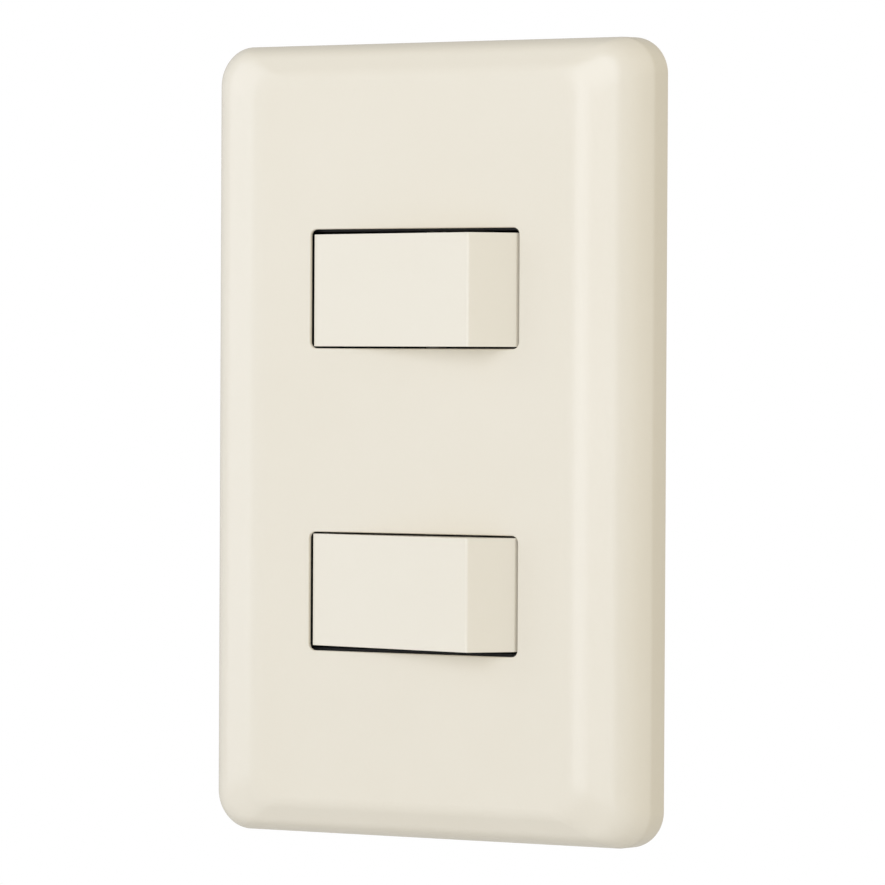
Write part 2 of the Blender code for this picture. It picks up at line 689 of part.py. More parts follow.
def make_module(prefix, centre_z):
    paint(make_rocker(prefix, centre_z), "ivory_plastic")
    paint(make_plunger(prefix, centre_z), "acetal")
    paint(make_plunger_spring(prefix, centre_z), "spring_steel")
    paint(make_rocker_housing(prefix, centre_z), "black_plastic")
    paint(make_rear_casing(prefix, centre_z), "black_plastic")
    paint(make_contact_arm(prefix, centre_z), "brass")
    paint(make_moving_contact(prefix, centre_z), "silver")
    paint(make_fixed_contact(prefix, centre_z), "silver")
    paint(make_common_strip(prefix, centre_z), "brass")
    paint(make_load_strip(prefix, centre_z), "brass")
    for terminal, side in (("common", 1), ("load", -1)):
        paint(make_clamp(f"{prefix}{terminal}_clamp", side, centre_z), "brass")
        paint(make_terminal_screw(f"{prefix}{terminal}_screw", side, centre_z), "zinc_steel")


def main():
    paint(make_cover_plate(), "ivory_plastic")
    paint(make_support_frame(), "grey_nylon")
    paint(make_box_screw("box_screw_top", BOX_SCREW_Z), "zinc_steel")
    paint(make_box_screw("box_screw_bottom", -BOX_SCREW_Z), "zinc_steel")
    for prefix, centre_z in MODULES:
        make_module(prefix, centre_z)


main()
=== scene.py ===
# %% [markdown]
# # A two-gang rocker wall switch
# The imported model is the frame that every piece here is built around. It is loaded first, and each
# finer piece later takes the place of the part that it stands for, which is hidden.

# %% Load the frame
import math

import bmesh
import bpy
from mathutils import Matrix, Vector


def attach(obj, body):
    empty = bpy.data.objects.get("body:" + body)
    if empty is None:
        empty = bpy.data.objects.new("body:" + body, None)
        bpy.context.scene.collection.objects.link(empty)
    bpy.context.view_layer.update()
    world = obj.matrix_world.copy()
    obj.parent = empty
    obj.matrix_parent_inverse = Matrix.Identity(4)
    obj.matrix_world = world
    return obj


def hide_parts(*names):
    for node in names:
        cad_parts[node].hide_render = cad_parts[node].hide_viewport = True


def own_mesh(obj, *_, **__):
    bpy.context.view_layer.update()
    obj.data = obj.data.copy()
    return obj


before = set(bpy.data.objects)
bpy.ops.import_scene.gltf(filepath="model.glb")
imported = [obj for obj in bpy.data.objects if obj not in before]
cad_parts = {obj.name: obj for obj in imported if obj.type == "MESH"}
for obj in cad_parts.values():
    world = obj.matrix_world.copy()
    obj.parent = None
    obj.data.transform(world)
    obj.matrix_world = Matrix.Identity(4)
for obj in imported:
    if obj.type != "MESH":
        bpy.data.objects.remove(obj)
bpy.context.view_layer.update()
MM = 0.001
print("nodes:", len(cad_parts))

# %% [markdown]
# ## Camera
# A long lens far from a small object keeps its edges almost parallel, as in a catalogue. The camera stands
# to the right of the plate and level with it. Its direction is worked out from an azimuth and an
# elevation, so a reader can move it round by changing one number.

# %% Camera
# Angles are in degrees, the lens and sensor in millimetres, and the distance and the aim in metres.
AZIMUTH, ELEVATION, ROLL = 27.25, 0.917, 0.28
DISTANCE = 0.73606
AIM = Vector((-0.0003, -0.00016, -0.00031))
FOCAL_LENGTH = 199.9
SENSOR_WIDTH = 36


def look_from(azimuth, elevation, roll):
    """A rotation that looks at the aim point from an azimuth to the right of -Y and a height above it."""
    level = Matrix.Rotation(math.radians(90 - elevation), 4, "X")
    level = Matrix.Rotation(math.radians(azimuth), 4, "Z") @ level
    return level @ Matrix.Rotation(math.radians(roll), 4, "Z")


turn = look_from(AZIMUTH, ELEVATION, ROLL)
lens = bpy.data.cameras.new("catalogue_camera")
lens.lens = FOCAL_LENGTH
lens.sensor_width = SENSOR_WIDTH
lens.dof.use_dof = False
camera = bpy.data.objects.new("catalogue_camera", lens)
camera.matrix_world = Matrix.Translation(AIM) @ turn @ Matrix.Translation((0, 0, DISTANCE))
bpy.context.scene.collection.objects.link(camera)
bpy.context.scene.camera = camera
print("camera at", [round(v, 4) for v in camera.matrix_world.translation])

# %% [markdown]
# ## Modelling helpers
# Each step below adds a primitive, selects some of it by place or direction, and runs an edit operator, as
# a person does with the mouse. A test written as a function replaces the mouse's selection, so the step
# still works after a size changes.

# %% Selection and edit helpers
SELECT_MODES = {"faces": "FACE", "edges": "EDGE", "verts": "VERT"}


def start_clean():
    if bpy.context.mode != "OBJECT":
        bpy.ops.object.mode_set(mode="OBJECT")
    bpy.ops.object.select_all(action="DESELECT")


def make_active(obj):
    start_clean()
    obj.select_set(True)
    bpy.context.view_layer.objects.active = obj


def edit(obj):
    make_active(obj)
    bpy.ops.object.mode_set(mode="EDIT")


def done():
    bpy.ops.object.mode_set(mode="OBJECT")


def pick(obj, kind, test):
    """Selects the faces, edges or verts that pass the test, and nothing else."""
    bpy.ops.mesh.select_mode(type=SELECT_MODES[kind])
    bpy.ops.mesh.select_all(action="DESELECT")
    shape = bmesh.from_edit_mesh(obj.data)
    found = [element for element in getattr(shape, kind) if test(element)]
    for element in found:
        element.select_set(True)
    shape.select_flush_mode()
    bmesh.update_edit_mesh(obj.data)
    return len(found)


def middle(element):
    """The mean of an edge's or a face's corners, in millimetres."""
    corners = element.verts
    return sum((v.co for v in corners), Vector()) / len(corners) / MM


def runs_along(edge, axis):
    """Whether an edge is parallel to X, Y or Z, numbered 0 to 2."""
    along = (edge.verts[0].co - edge.verts[1].co).normalized()
    return abs(along[axis]) > 0.99


def move(x=0, y=0, z=0):
    bpy.ops.transform.translate(value=(x * MM, y * MM, z * MM))


def extrude(x=0, y=0, z=0):
    bpy.ops.mesh.extrude_region_move(TRANSFORM_OT_translate={"value": (x * MM, y * MM, z * MM)})


def bevel_picked(width, segments=4):
    bpy.ops.mesh.bevel(offset=width * MM, segments=segments, affect="EDGES", profile=0.5)


# %% [markdown]
# Shapes start as a block, a bar or a line that is turned as on a lathe. Each is added at its size and place,
# and the place is then applied, so that the object stays at the origin and only its mesh is where the piece is.

# %% Blocks and bars


def settle(obj):
    """Applies the object's place, so that it sits at the origin with its place in its mesh."""
    make_active(obj)
    bpy.ops.object.transform_apply(location=True, rotation=True, scale=True)
    return obj


def block(name, low, high, corner=0.0, along=1, segments=6):
    """A cube primitive between two corners. Its edges along one axis may be rounded."""
    start_clean()
    centre = [(a + b) / 2 * MM for a, b in zip(low, high)]
    bpy.ops.mesh.primitive_cube_add(size=1, location=centre)
    obj = bpy.context.object
    obj.name = name
    obj.scale = [abs(b - a) * MM for a, b in zip(low, high)]
    settle(obj)
    if corner:
        edit(obj)
        pick(obj, "edges", lambda e: runs_along(e, along))
        bevel_picked(corner, segments)
        done()
    return obj


def aimed(obj, start, axis):
    """Puts a shape made about +Z at a point in millimetres, with its +Z turned to the axis."""
    turn = Vector(axis).to_track_quat("Z", "Y").to_matrix().to_4x4()
    obj.matrix_world = Matrix.Translation(Vector(start) * MM) @ turn
    return settle(obj)


def bar(name, start, end, radius, sides=48):
    """A cylinder primitive between two points."""
    start_clean()
    along = Vector(end) - Vector(start)
    bpy.ops.mesh.primitive_cylinder_add(vertices=sides, radius=radius * MM, depth=along.length * MM)
    obj = bpy.context.object
    obj.name = name
    return aimed(obj, (Vector(start) + Vector(end)) / 2, along)


# %% [markdown]
# A screw or a rivet is round about an axis, so half of its outline is enough. The outline is drawn as a line of
# points and spun, and its first and last turn are then merged into one closed skin.

# %% Turned shapes
MERGE_GAP = 1e-6


def draw_line(name, points):
    """A single vertex extruded from point to point in X and Z, ready to be turned about Z."""
    start_clean()
    bpy.ops.mesh.primitive_plane_add(size=MM)
    obj = bpy.context.object
    obj.name = name
    edit(obj)
    bpy.ops.mesh.select_mode(type="VERT")
    bpy.ops.mesh.select_all(action="SELECT")
    bpy.ops.mesh.merge(type="CENTER")
    move(points[0][0], 0, points[0][1])
    for (x, z), (next_x, next_z) in zip(points, points[1:]):
        extrude(next_x - x, 0, next_z - z)
    done()
    return obj


def close_up(obj):
    """Merges doubles and points all faces outwards."""
    edit(obj)
    bpy.ops.mesh.select_all(action="SELECT")
    bpy.ops.mesh.remove_doubles(threshold=MERGE_GAP)
    bpy.ops.mesh.normals_make_consistent(inside=False)
    done()
    return obj


def turned(name, profile, start, axis, sides=48):
    """A line of (radius, height) points spun about an axis, as on a lathe. It begins and ends on the axis."""
    obj = draw_line(name, profile)
    edit(obj)
    bpy.ops.mesh.select_all(action="SELECT")
    bpy.ops.mesh.spin(steps=sides, angle=2 * math.pi, center=(0, 0, 0), axis=(0, 0, 1))
    done()
    return aimed(close_up(obj), start, axis)


# %% [markdown]
# Booleans join a rib to a wall or cut a hole through it. A plane trims a shape flat or marks a line across it,
# and the Screw modifier winds an outline into a thread or a spring.

# %% Joining, cutting and winding
PLANE_GAP = 1e-7


def apply_all(obj):
    make_active(obj)
    for modifier in list(obj.modifiers):
        bpy.ops.object.modifier_apply(modifier=modifier.name)
    return obj


def combine(obj, tools, operation):
    for tool in tools:
        step = obj.modifiers.new("boolean", "BOOLEAN")
        step.operation = operation
        step.object = tool
        step.solver = "EXACT"
        apply_all(obj)
        bpy.data.objects.remove(tool, do_unlink=True)
    return obj


def cut(obj, *tools):
    return combine(obj, tools, "DIFFERENCE")


def join(obj, *tools):
    return combine(obj, tools, "UNION")


def trim(obj, point, normal, keep_both=False):
    """Cuts along a plane given in millimetres. What lies on the normal's side goes, unless both are kept."""
    edit(obj)
    bpy.ops.mesh.select_all(action="SELECT")
    plane = {"plane_co": Vector(point) * MM, "plane_no": normal, "threshold": PLANE_GAP}
    bpy.ops.mesh.bisect(**plane, use_fill=not keep_both, clear_outer=not keep_both)
    done()
    return obj


def wind_up(obj, pitch, turns, steps):
    """Carries an outline round Z with the Screw modifier, and up by the pitch in millimetres at each turn."""
    wind = obj.modifiers.new("wind", "SCREW")
    wind.screw_offset = pitch * MM
    wind.iterations = turns
    wind.steps = steps
    wind.render_steps = steps
    return apply_all(obj)


# %% [markdown]
# Last come the small radii and the shading. Real moulded or stamped edges are never sharp, and the thin line
# of light on them is what makes a piece look solid.

# %% Rounding and shading
SLIVER_GAP = 3e-6


def clean(obj):
    """Merges points closer than a few thousandths of a millimetre and drops faces with no area."""
    edit(obj)
    bpy.ops.mesh.select_all(action="SELECT")
    bpy.ops.mesh.remove_doubles(threshold=SLIVER_GAP)
    bpy.ops.mesh.dissolve_degenerate(threshold=SLIVER_GAP)
    bpy.ops.mesh.delete_loose()
    done()
    return obj


def round_edges(obj, width, segments=3, angle=35):
    """A small radius on each edge that turns by more than the angle."""
    step = obj.modifiers.new("round", "BEVEL")
    step.width = width * MM
    step.segments = segments
    step.limit_method = "ANGLE"
    step.angle_limit = math.radians(angle)
    step.use_clamp_overlap = True
    step.miter_outer = "MITER_ARC"
    return apply_all(obj)


def smooth(obj, angle=50):
    """Smooth shading whose normals lean towards the large faces, so flats stay flat beside small radii."""
    make_active(clean(obj))
    bpy.ops.object.shade_smooth_by_angle(angle=math.radians(angle))
    lean = obj.modifiers.new("weighted", "WEIGHTED_NORMAL")
    lean.weight = 60
    lean.keep_sharp = True
    return apply_all(obj)


def measure(obj):
    size = [round(v / MM, 2) for v in obj.dimensions]
    print(f"{obj.name}: {len(obj.data.polygons)} faces, {size} mm")
    return obj


# %% [markdown]
# ## Cover plate
# The plate is one moulding: a straight side wall, a crisp edge, and a margin that curves up to a flat
# front. Its wall is an even 2 mm or so, because thick spots sink as they cool. A box with rounded upright
# edges is the start. The front face is then extruded a little at a time and scaled at each step, which
# draws the margin as a stack of rings. The same is done from behind, inwards, so the shell comes out
# closed with no separate lid.

# %% Plate sizes
PLATE_HALF = (36.5, 59.5)
CREASE_HALF = (36.35, 59.35)
CREASE_Y = -3.9
FRONT_Y = -10.4
FLAT_HALF = (24.8, 53.4)
CORNER = 5.5
SHELL = 2.1
INNER_CREASE_Y = -2.6
INNER_FRONT_Y = -8.8
INNER_FLAT_INSET = 0.4
OUTER_RINGS = 40
INNER_RINGS = 14
MARGIN_SAMPLES = 200


def ease(share):
    """Goes from 0 to 1 with a gentle start and end, and stays there outside that range."""
    share = min(max(share, 0.0), 1.0)
    return share * share * (3 - 2 * share)


def margin_slope(share):
    """The margin's slope at a share of its width, from 0 at the flat front to 1 at the crisp edge."""
    bend = 21 * min(share / 0.34, 1.0)
    roll = 48 * ease((share - 0.6) / 0.42)
    return math.tan(math.radians(bend + roll))


def margin_fall(share):
    """How much of its depth the margin has lost at a share of its width."""
    widths = [(i + 0.5) / MARGIN_SAMPLES for i in range(MARGIN_SAMPLES)]
    whole = sum(margin_slope(w) for w in widths)
    return sum(margin_slope(w) for w in widths if w < share) / whole


def grow_rings(start_half, flat_half, start_y, end_y, count):
    """Extrudes the picked face in steps, narrowing it as the margin climbs from the edge to the flat."""
    half = list(start_half)
    y = start_y
    for step in range(1, count + 1):
        share = 1 - step / count
        next_half = [flat + (start - flat) * share for start, flat in zip(start_half, flat_half)]
        next_y = end_y + (start_y - end_y) * margin_fall(share)
        extrude(y=next_y - y)
        factors = (next_half[0] / half[0], 1, next_half[1] / half[1])
        bpy.ops.transform.resize(value=factors, center_override=(0, next_y * MM, 0))
        half = next_half
        y = next_y


# %% Plate shell
low = (-PLATE_HALF[0], CREASE_Y, -PLATE_HALF[1])
high = (PLATE_HALF[0], 0, PLATE_HALF[1])
plate = block("fine_cover_plate", low, high, CORNER, segments=24)
edit(plate)
pick(plate, "faces", lambda f: f.normal.y < -0.9)
draft = (CREASE_HALF[0] / PLATE_HALF[0], 1, CREASE_HALF[1] / PLATE_HALF[1])
bpy.ops.transform.resize(value=draft, center_override=(0, CREASE_Y * MM, 0))
grow_rings(CREASE_HALF, FLAT_HALF, CREASE_Y, FRONT_Y, OUTER_RINGS)
pick(plate, "faces", lambda f: f.normal.y > 0.9)
bpy.ops.mesh.inset(thickness=SHELL * MM, depth=0)
extrude(y=INNER_CREASE_Y)
inner_half = [half - SHELL for half in PLATE_HALF]
inner_flat = [half - INNER_FLAT_INSET for half in FLAT_HALF]
grow_rings(inner_half, inner_flat, INNER_CREASE_Y, INNER_FRONT_Y, INNER_RINGS)
done()
measure(plate)

# %% [markdown]
# The two windows have small corner radii. Behind a thin front lip each one widens, so that the key can
# swing without touching. Four hooks inside the side walls snap over ledges on the frame, and a notch in
# the bottom rim lets a screwdriver lever the plate off. Each is a block with its edges rounded, cut away
# or joined on.

# %% Plate windows, hooks and notch
MODULE_Z = 22.35
WINDOW_Z = 22.58
WINDOW_HALF = (17.4, 8.875)
LIP_Y = -9.6
REBATE_HALF = (18.6, 9.9)
CATCH_Z = 36.0
HOOK_X = (31.7, 33.0)
HOOK_Y = (-6.6, -0.9)
NUB_X = (30.75, 32.0)
NUB_Y = (-2.5, -1.2)
CATCH_HALF_Z = 4
NOTCH_HALF_X = 4
PLATE_ROUND = 0.22


def module_band(half_z):
    """The bottom and top Z of a shape centred on the upper module."""
    return MODULE_Z - half_z, MODULE_Z + half_z


def slab(name, half, centre_z, y_range, corner, segments=6):
    """A block with rounded corners, centred on X = 0, between two depths."""
    low = (-half[0], y_range[0], centre_z - half[1])
    return block(name, low, (half[0], y_range[1], centre_z + half[1]), corner, segments=segments)


def two_sided(name, x_range, y_range, z_range, side, width=0.0):
    """A block on the left for side -1 or on the right for +1, with its edges rounded if a width is given."""
    near, far = sorted((side * x_range[0], side * x_range[1]))
    made = block(name, (near, y_range[0], z_range[0]), (far, y_range[1], z_range[1]))
    return round_edges(made, width, 2) if width else made


for z in (WINDOW_Z, -WINDOW_Z):
    cut(plate, slab("window", WINDOW_HALF, z, (FRONT_Y - 1, INNER_FRONT_Y + 1), 1.0))
    cut(plate, slab("rebate", REBATE_HALF, z, (LIP_Y, INNER_FRONT_Y + 1), 1.0))
notch_low = (-NOTCH_HALF_X, -1.2, -PLATE_HALF[1] - 1)
cut(plate, block("notch", notch_low, (NOTCH_HALF_X, 1, 1 + SHELL - PLATE_HALF[1])))
round_edges(plate, PLATE_ROUND)
for side in (-1, 1):
    for z in (-CATCH_Z, CATCH_Z):
        hook = (z - CATCH_HALF_Z, z + CATCH_HALF_Z)
        nub = (hook[0] - 0.01, hook[1] + 0.01)
        join(plate, two_sided("hook", HOOK_X, HOOK_Y, hook, side, 0.2))
        join(plate, two_sided("nub", NUB_X, NUB_Y, nub, side, 0.3))
smooth(plate)
measure(plate)

# %% [markdown]
# ## Rocker keys
# Each key is a slice of a drum whose axis is its pivot, so its ends keep the same distance from the window
# at any tilt. Planes cut the drum to a long face and a shorter, steeper one that meet in a soft crease.
# Trimming a cylinder by planes gives the true curved ends, which a box with a bent top would not. The same
# shape, smaller by the wall's thickness, hollows it. Pins, a tube for the plunger and a cross rib are
# joined inside.

# %% Rocker sizes
PIVOT_Y = -3.0
REACH = 18.3
KEY_HALF_Z = 8.35
KEY_WALL = 1.25
LEFT_TOP_Y = -6.9
RIGHT_TOP_Y = -7.2
CREASE = (11.5, -12.3)
MOUTH_POINT = (18.12, -2.55)
MOUTH_NORMAL = (0.084, 0.9965)
REST_TILT = math.radians(-10)


def face_normal(start, end):
    """The outward direction of a face seen from above, which runs from left to right between two points."""
    across = end[0] - start[0]
    along = end[1] - start[1]
    length = math.hypot(across, along)
    return along / length, -across / length


LEFT_TOP = (-math.sqrt(REACH ** 2 - LEFT_TOP_Y ** 2), LEFT_TOP_Y)
RIGHT_TOP = (math.sqrt(REACH ** 2 - RIGHT_TOP_Y ** 2), RIGHT_TOP_Y)
KEY_FACES = (face_normal(LEFT_TOP, CREASE), face_normal(CREASE, RIGHT_TOP))
print("key faces point to:", [[round(v, 4) for v in face] for face in KEY_FACES])


def stem_point(along, z=MODULE_Z):
    """A point on the plunger's axis at rest. It is behind the pivot, or in front of it if along is negative."""
    return Vector((-math.sin(REST_TILT) * along, math.cos(REST_TILT) * along + PIVOT_Y, z))


def drum_slice(name, wall, mouth):
    """The key's outer form for wall 0, or the smaller form that hollows it."""
    half_z = KEY_HALF_Z - wall
    ends = [(0, PIVOT_Y, MODULE_Z + side * half_z) for side in (-1, 1)]
    obj = bar(name, ends[0], ends[1], REACH - wall, 240)
    for face in KEY_FACES:
        x, y = (CREASE[i] - face[i] * wall for i in (0, 1))
        trim(obj, (x, y + PIVOT_Y, 0), (*face, 0))
    x, y = (MOUTH_POINT[i] + MOUTH_NORMAL[i] * mouth for i in (0, 1))
    trim(obj, (x, y + PIVOT_Y, 0), (*MOUTH_NORMAL, 0))
    return obj


def on_crease(edge):
    """Whether an edge is the one where the key's two faces meet."""
    at = middle(edge)
    return runs_along(edge, 2) and math.hypot(at.x - CREASE[0], at.y - PIVOT_Y - CREASE[1]) < 0.05


# %% Upper rocker
CREASE_ROUND = 0.4
KEY_ROUND = 0.2
EAR_RADIUS = 3.2
PIN_RADIUS = 1.5
PIN_END_Z = 9.6
STEM_RADIUS = 2.5
STEM_ENDS = (-9.4, 4.2)
BORE_RADIUS = 1.65
BORE_ENDS = (-7.6, 5.2)


def across_key(side, near, far):
    """Two points on the pivot's axis, above the key's middle for side 1 or below it for -1."""
    return [(0, PIVOT_Y, MODULE_Z + side * z) for z in (near, far)]


rocker = drum_slice("fine_upper_rocker", 0, 0)
edit(rocker)
print("crease edges:", pick(rocker, "edges", on_crease))
bevel_picked(CREASE_ROUND, 8)
done()
cut(rocker, round_edges(drum_slice("hollow", KEY_WALL, 3.0), 0.4, 2))
round_edges(rocker, KEY_ROUND, 4)
for side in (-1, 1):
    ear = bar("ear", *across_key(side, KEY_HALF_Z - KEY_WALL - 0.5, KEY_HALF_Z - 0.01), EAR_RADIUS)
    pin = bar("pin", *across_key(side, KEY_HALF_Z - 0.6, PIN_END_Z), PIN_RADIUS)
    join(rocker, round_edges(ear, 0.15, 2), round_edges(pin, 0.3, 3))
web_half_z = KEY_HALF_Z - 1
web = block("web", (-0.5, STEM_ENDS[0], MODULE_Z - web_half_z), (0.5, -1.0, MODULE_Z + web_half_z))
web.matrix_world = Matrix.Translation((0, PIVOT_Y * MM, 0)) @ Matrix.Rotation(REST_TILT, 4, "Z")
join(rocker, settle(web))
stem = bar("stem", stem_point(STEM_ENDS[0]), stem_point(STEM_ENDS[1]), STEM_RADIUS, 64)
join(rocker, round_edges(stem, 0.2, 2))
cut(rocker, bar("bore", stem_point(BORE_ENDS[0]), stem_point(BORE_ENDS[1]), BORE_RADIUS, 48))
smooth(rocker)
measure(rocker)

# %% [markdown]
# ## Collar and rear casing
# The black collar frames the key and carries its pins. Its flange lies on the support frame, and its two
# side tongues snap over lugs on the rear casing. The casing holds the contacts, with a funnelled hole for
# each wire and an opening for each terminal screw. Both are moulded, so every edge has a small radius.

# %% Collar
COLLAR_HALF = (20.6, 10.2)
COLLAR_Y = (-8.3, 3.0)
COLLAR_HOLLOW = (18.9, 8.75)
FLANGE_HALF = (23.5, 12.0)
FLANGE_Y = (-3.8, -2.3)
TONGUE_X = (19.65, 20.58)
TONGUE_HALF_Z = 4
PIN_HOLE_RADIUS = 1.7
PIN_HOLE_HALF_Z = 9.9

collar = slab("fine_upper_rocker_housing", COLLAR_HALF, MODULE_Z, COLLAR_Y, 0.8)
join(collar, slab("flange", FLANGE_HALF, MODULE_Z, FLANGE_Y, 1.2))
cut(collar, slab("hollow", COLLAR_HOLLOW, MODULE_Z, (COLLAR_Y[0] - 1, COLLAR_Y[1] + 1), 0.5))
for side in (-1, 1):
    join(collar, two_sided("tongue", TONGUE_X, (2.4, 9.0), module_band(TONGUE_HALF_Z), side))
    edge = sorted((MODULE_Z + side * 9.8, MODULE_Z + side * 11.5))
    join(collar, block("lug", (-5, 0.3, edge[0]), (5, 2.0, edge[1])))
round_edges(collar, 0.18, 3)
cut(collar, block("catch_hole", (-25, 4.6, MODULE_Z - 2.8), (25, 7.0, MODULE_Z + 2.8), 0.4, along=0))
cut(collar, bar("pin_hole", *across_key(1, -PIN_HOLE_HALF_Z, PIN_HOLE_HALF_Z), PIN_HOLE_RADIUS))
smooth(collar)
measure(collar)

# %% [markdown]
# The casing starts as a block with rounded corners, open at the front. The snap lugs have a slope on the
# side that meets the tongue first, so the halves push together but don't pull apart. The wire holes widen
# towards the back in a cone, turned as a cutter, which leads a stripped wire in.

# %% Rear casing
CASING_HALF = (19.3, 10.2)
CASING_Y = (3.3, 23.0)
CASING_HOLLOW = (17.9, 8.7)
FLOOR_Y = 21.4
CLAMP_X = (10.3, 16.9)
CLAMP_Y = (13.4, 19.6)
TERMINAL_Y = 16.5
WIRE_X = 14.1
SCREW_X = 17.0
LUG_SLOPE = 0.75
RIB_Z = (3.75, 4.65)
BED_X = (3.0, 4.2)
GUIDE_END_Y = 21.9

casing = slab("fine_upper_rear_casing", CASING_HALF, MODULE_Z, CASING_Y, 1.0)
cut(casing, slab("hollow", CASING_HOLLOW, MODULE_Z, (CASING_Y[0] - 1, FLOOR_Y), 0.5))
cut(casing, slab("back_panel", (9.0, 7.6), MODULE_Z, (CASING_Y[1] - 0.3, CASING_Y[1] + 1), 1.0))
round_edges(casing, 0.3, 3)
for side in (-1, 1):
    lug = two_sided("snap_lug", (18.8, 20.3), (5.0, 6.6), module_band(2.4), side)
    edit(lug)
    pick(lug, "verts", lambda v: abs(v.co.x) > 20 * MM and v.co.y < 5.1 * MM)
    move(x=-LUG_SLOPE * side)
    done()
    join(casing, lug)
    for wall in (-1, 1):
        rib = sorted(MODULE_Z + wall * z for z in RIB_Z)
        join(casing, two_sided("clamp_guide", (CLAMP_X[0], 18.4), (CLAMP_Y[0], GUIDE_END_Y), rib, side))
    bed_y = 13.1 if side < 0 else 12.1
    join(casing, two_sided("strip_bed", BED_X, (bed_y, GUIDE_END_Y), module_band(9.0), side))
    funnel = [(0, 0), (1.7, 0), (1.7, 1.7), (2.6, 2.7), (2.6, 3.6), (0, 3.6)]
    cut(casing, turned("wire_hole", funnel, (side * WIRE_X, FLOOR_Y - 1, MODULE_Z), (0, 1, 0)))
    opening = [(0, 0), (3.1, 0), (3.1, 2.0), (3.5, 2.4), (3.5, 4.0), (0, 4.0)]
    cut(casing, turned("screw_opening", opening, (side * SCREW_X, TERMINAL_Y, MODULE_Z), (side, 0, 0)))
smooth(casing)
measure(casing)

# %% [markdown]
# ## Support frame
# The frame is a flat nylon plate with a low wall round its edge and bars beside the modules, which stiffen
# it. Screws pull it to the wall box through the level slots. Two openings take the modules, and a pair of
# slits at each long side frees a springy tongue that gives way as a collar's lug snaps past.

# %% Support frame
FRAME_HALF = (30.4, 53.0)
FRAME_THICK = 2.0
RIB_Y = -3.9
OPENING_HALF = (21.3, 11.0)
BOX_SCREW_Z = 41.75
THROUGH_Y = (-6, 1)
BOX_SLOT_HALF = (3.5, 2.1)
SPARE_SLOT_HALF = (5, 1.2)
SPARE_SLOT_PLACES = [(x, z) for x in (-18, 18) for z in (-47, 47)]

support = slab("fine_support_frame", FRAME_HALF, 0, (RIB_Y, 0), 4.0)
tray = [half - 1.4 for half in FRAME_HALF]
cut(support, slab("tray", tray, 0, (RIB_Y - 1, 0.1 - FRAME_THICK), 2.6))
for side in (-1, 1):
    join(support, two_sided("upright_bar", (24.2, 25.2), (-3.4, -1.8), (-37.0, 37.0), side))
    level = sorted((side * 36.0, side * 36.9))
    join(support, block("level_bar", (-24.7, -3.3, level[0]), (24.7, -1.85, level[1])))
    for z in (-CATCH_Z, CATCH_Z):
        join(support, two_sided("catch_ledge", (29.6, 31.3), (-3.8, -2.9), (z - 5, z + 5), side))
for z in (-MODULE_Z, MODULE_Z):
    cut(support, slab("opening", OPENING_HALF, z, THROUGH_Y, 0.4, 3))
    for edge in (-1, 1):
        slit = sorted((z + edge * (OPENING_HALF[1] - 0.5), z + edge * (OPENING_HALF[1] + 2.5)))
        for x in (-7.4, 6.6):
            low, high = zip((x, x + 0.8), THROUGH_Y, slit)
            cut(support, block("slit", low, high, 0.3, segments=3))
for z in (-BOX_SCREW_Z, BOX_SCREW_Z):
    cut(support, slab("box_screw_slot", BOX_SLOT_HALF, z, THROUGH_Y, BOX_SLOT_HALF[1] - 0.01, 12))
half_x, half_z = SPARE_SLOT_HALF
for x, z in SPARE_SLOT_PLACES:
    low, high = zip((x - half_x, x + half_x), THROUGH_Y, (z - half_z, z + half_z))
    cut(support, block("spare_slot", low, high, half_z - 0.01, segments=8))
for x in (-27.1, 27.1):
    cut(support, bar("locating_hole", *((x, y, 0) for y in THROUGH_Y), 1.7, 32))
round_edges(support, 0.15, 2, 50)
smooth(support)
measure(support)

# %% [markdown]
# ## Screws
# A box screw is turned as a profile on a lathe would be, with a domed pan head. Its thread is one tooth
# carried round by the Screw modifier, turn after turn, then trimmed square at both ends so that it closes.
# Two tapered blocks cut the cross recess. The terminal screws are smaller ones of the same kind.

# %% Threads and recesses


def threaded(name, core, crest, pitch, turns, start, axis):
    """A thread from a point along an axis, closed at both ends."""
    tooth = [(core, 0), (crest, 0.38 * pitch), (crest, 0.5 * pitch), (core, 0.88 * pitch), (core, pitch)]
    obj = close_up(wind_up(draw_line(name, tooth), pitch, turns, 28))
    trim(obj, (0, 0, 1.01 * pitch), (0, 0, -1))
    trim(obj, (0, 0, (turns - 0.01) * pitch), (0, 0, 1))
    close_up(obj)
    return aimed(obj, start, axis)


def cross_recess(start, axis, half_length, half_width, depth):
    """Two tapered blocks that stand on the bottom of the recess and point out of the head."""
    arms = []
    for half_x, half_y in ((half_length, half_width), (half_width, half_length)):
        arm = block("recess", (-half_x, -half_y, 0), (half_x, half_y, depth + 1))
        edit(arm)
        pick(arm, "faces", lambda f: f.normal.z < -0.9)
        bpy.ops.transform.resize(value=(0.62, 0.62, 1), center_override=(0, 0, 0))
        done()
        arms.append(aimed(arm, start, axis))
    return arms


def dome(radius, edge_height, rise, steps=10):
    """Points of a domed head, from its middle out to its edge."""
    angles = [math.pi / 2 * step / steps for step in range(steps + 1)]
    return [(radius * math.sin(a), edge_height + rise * math.cos(a)) for a in angles]


# %% Box screw
HEAD_Y = -2.3
PAN_RADIUS = 3.4
SHANK_RADIUS = 1.5
THREAD_PITCH = 0.7
THREAD_TURNS = 32

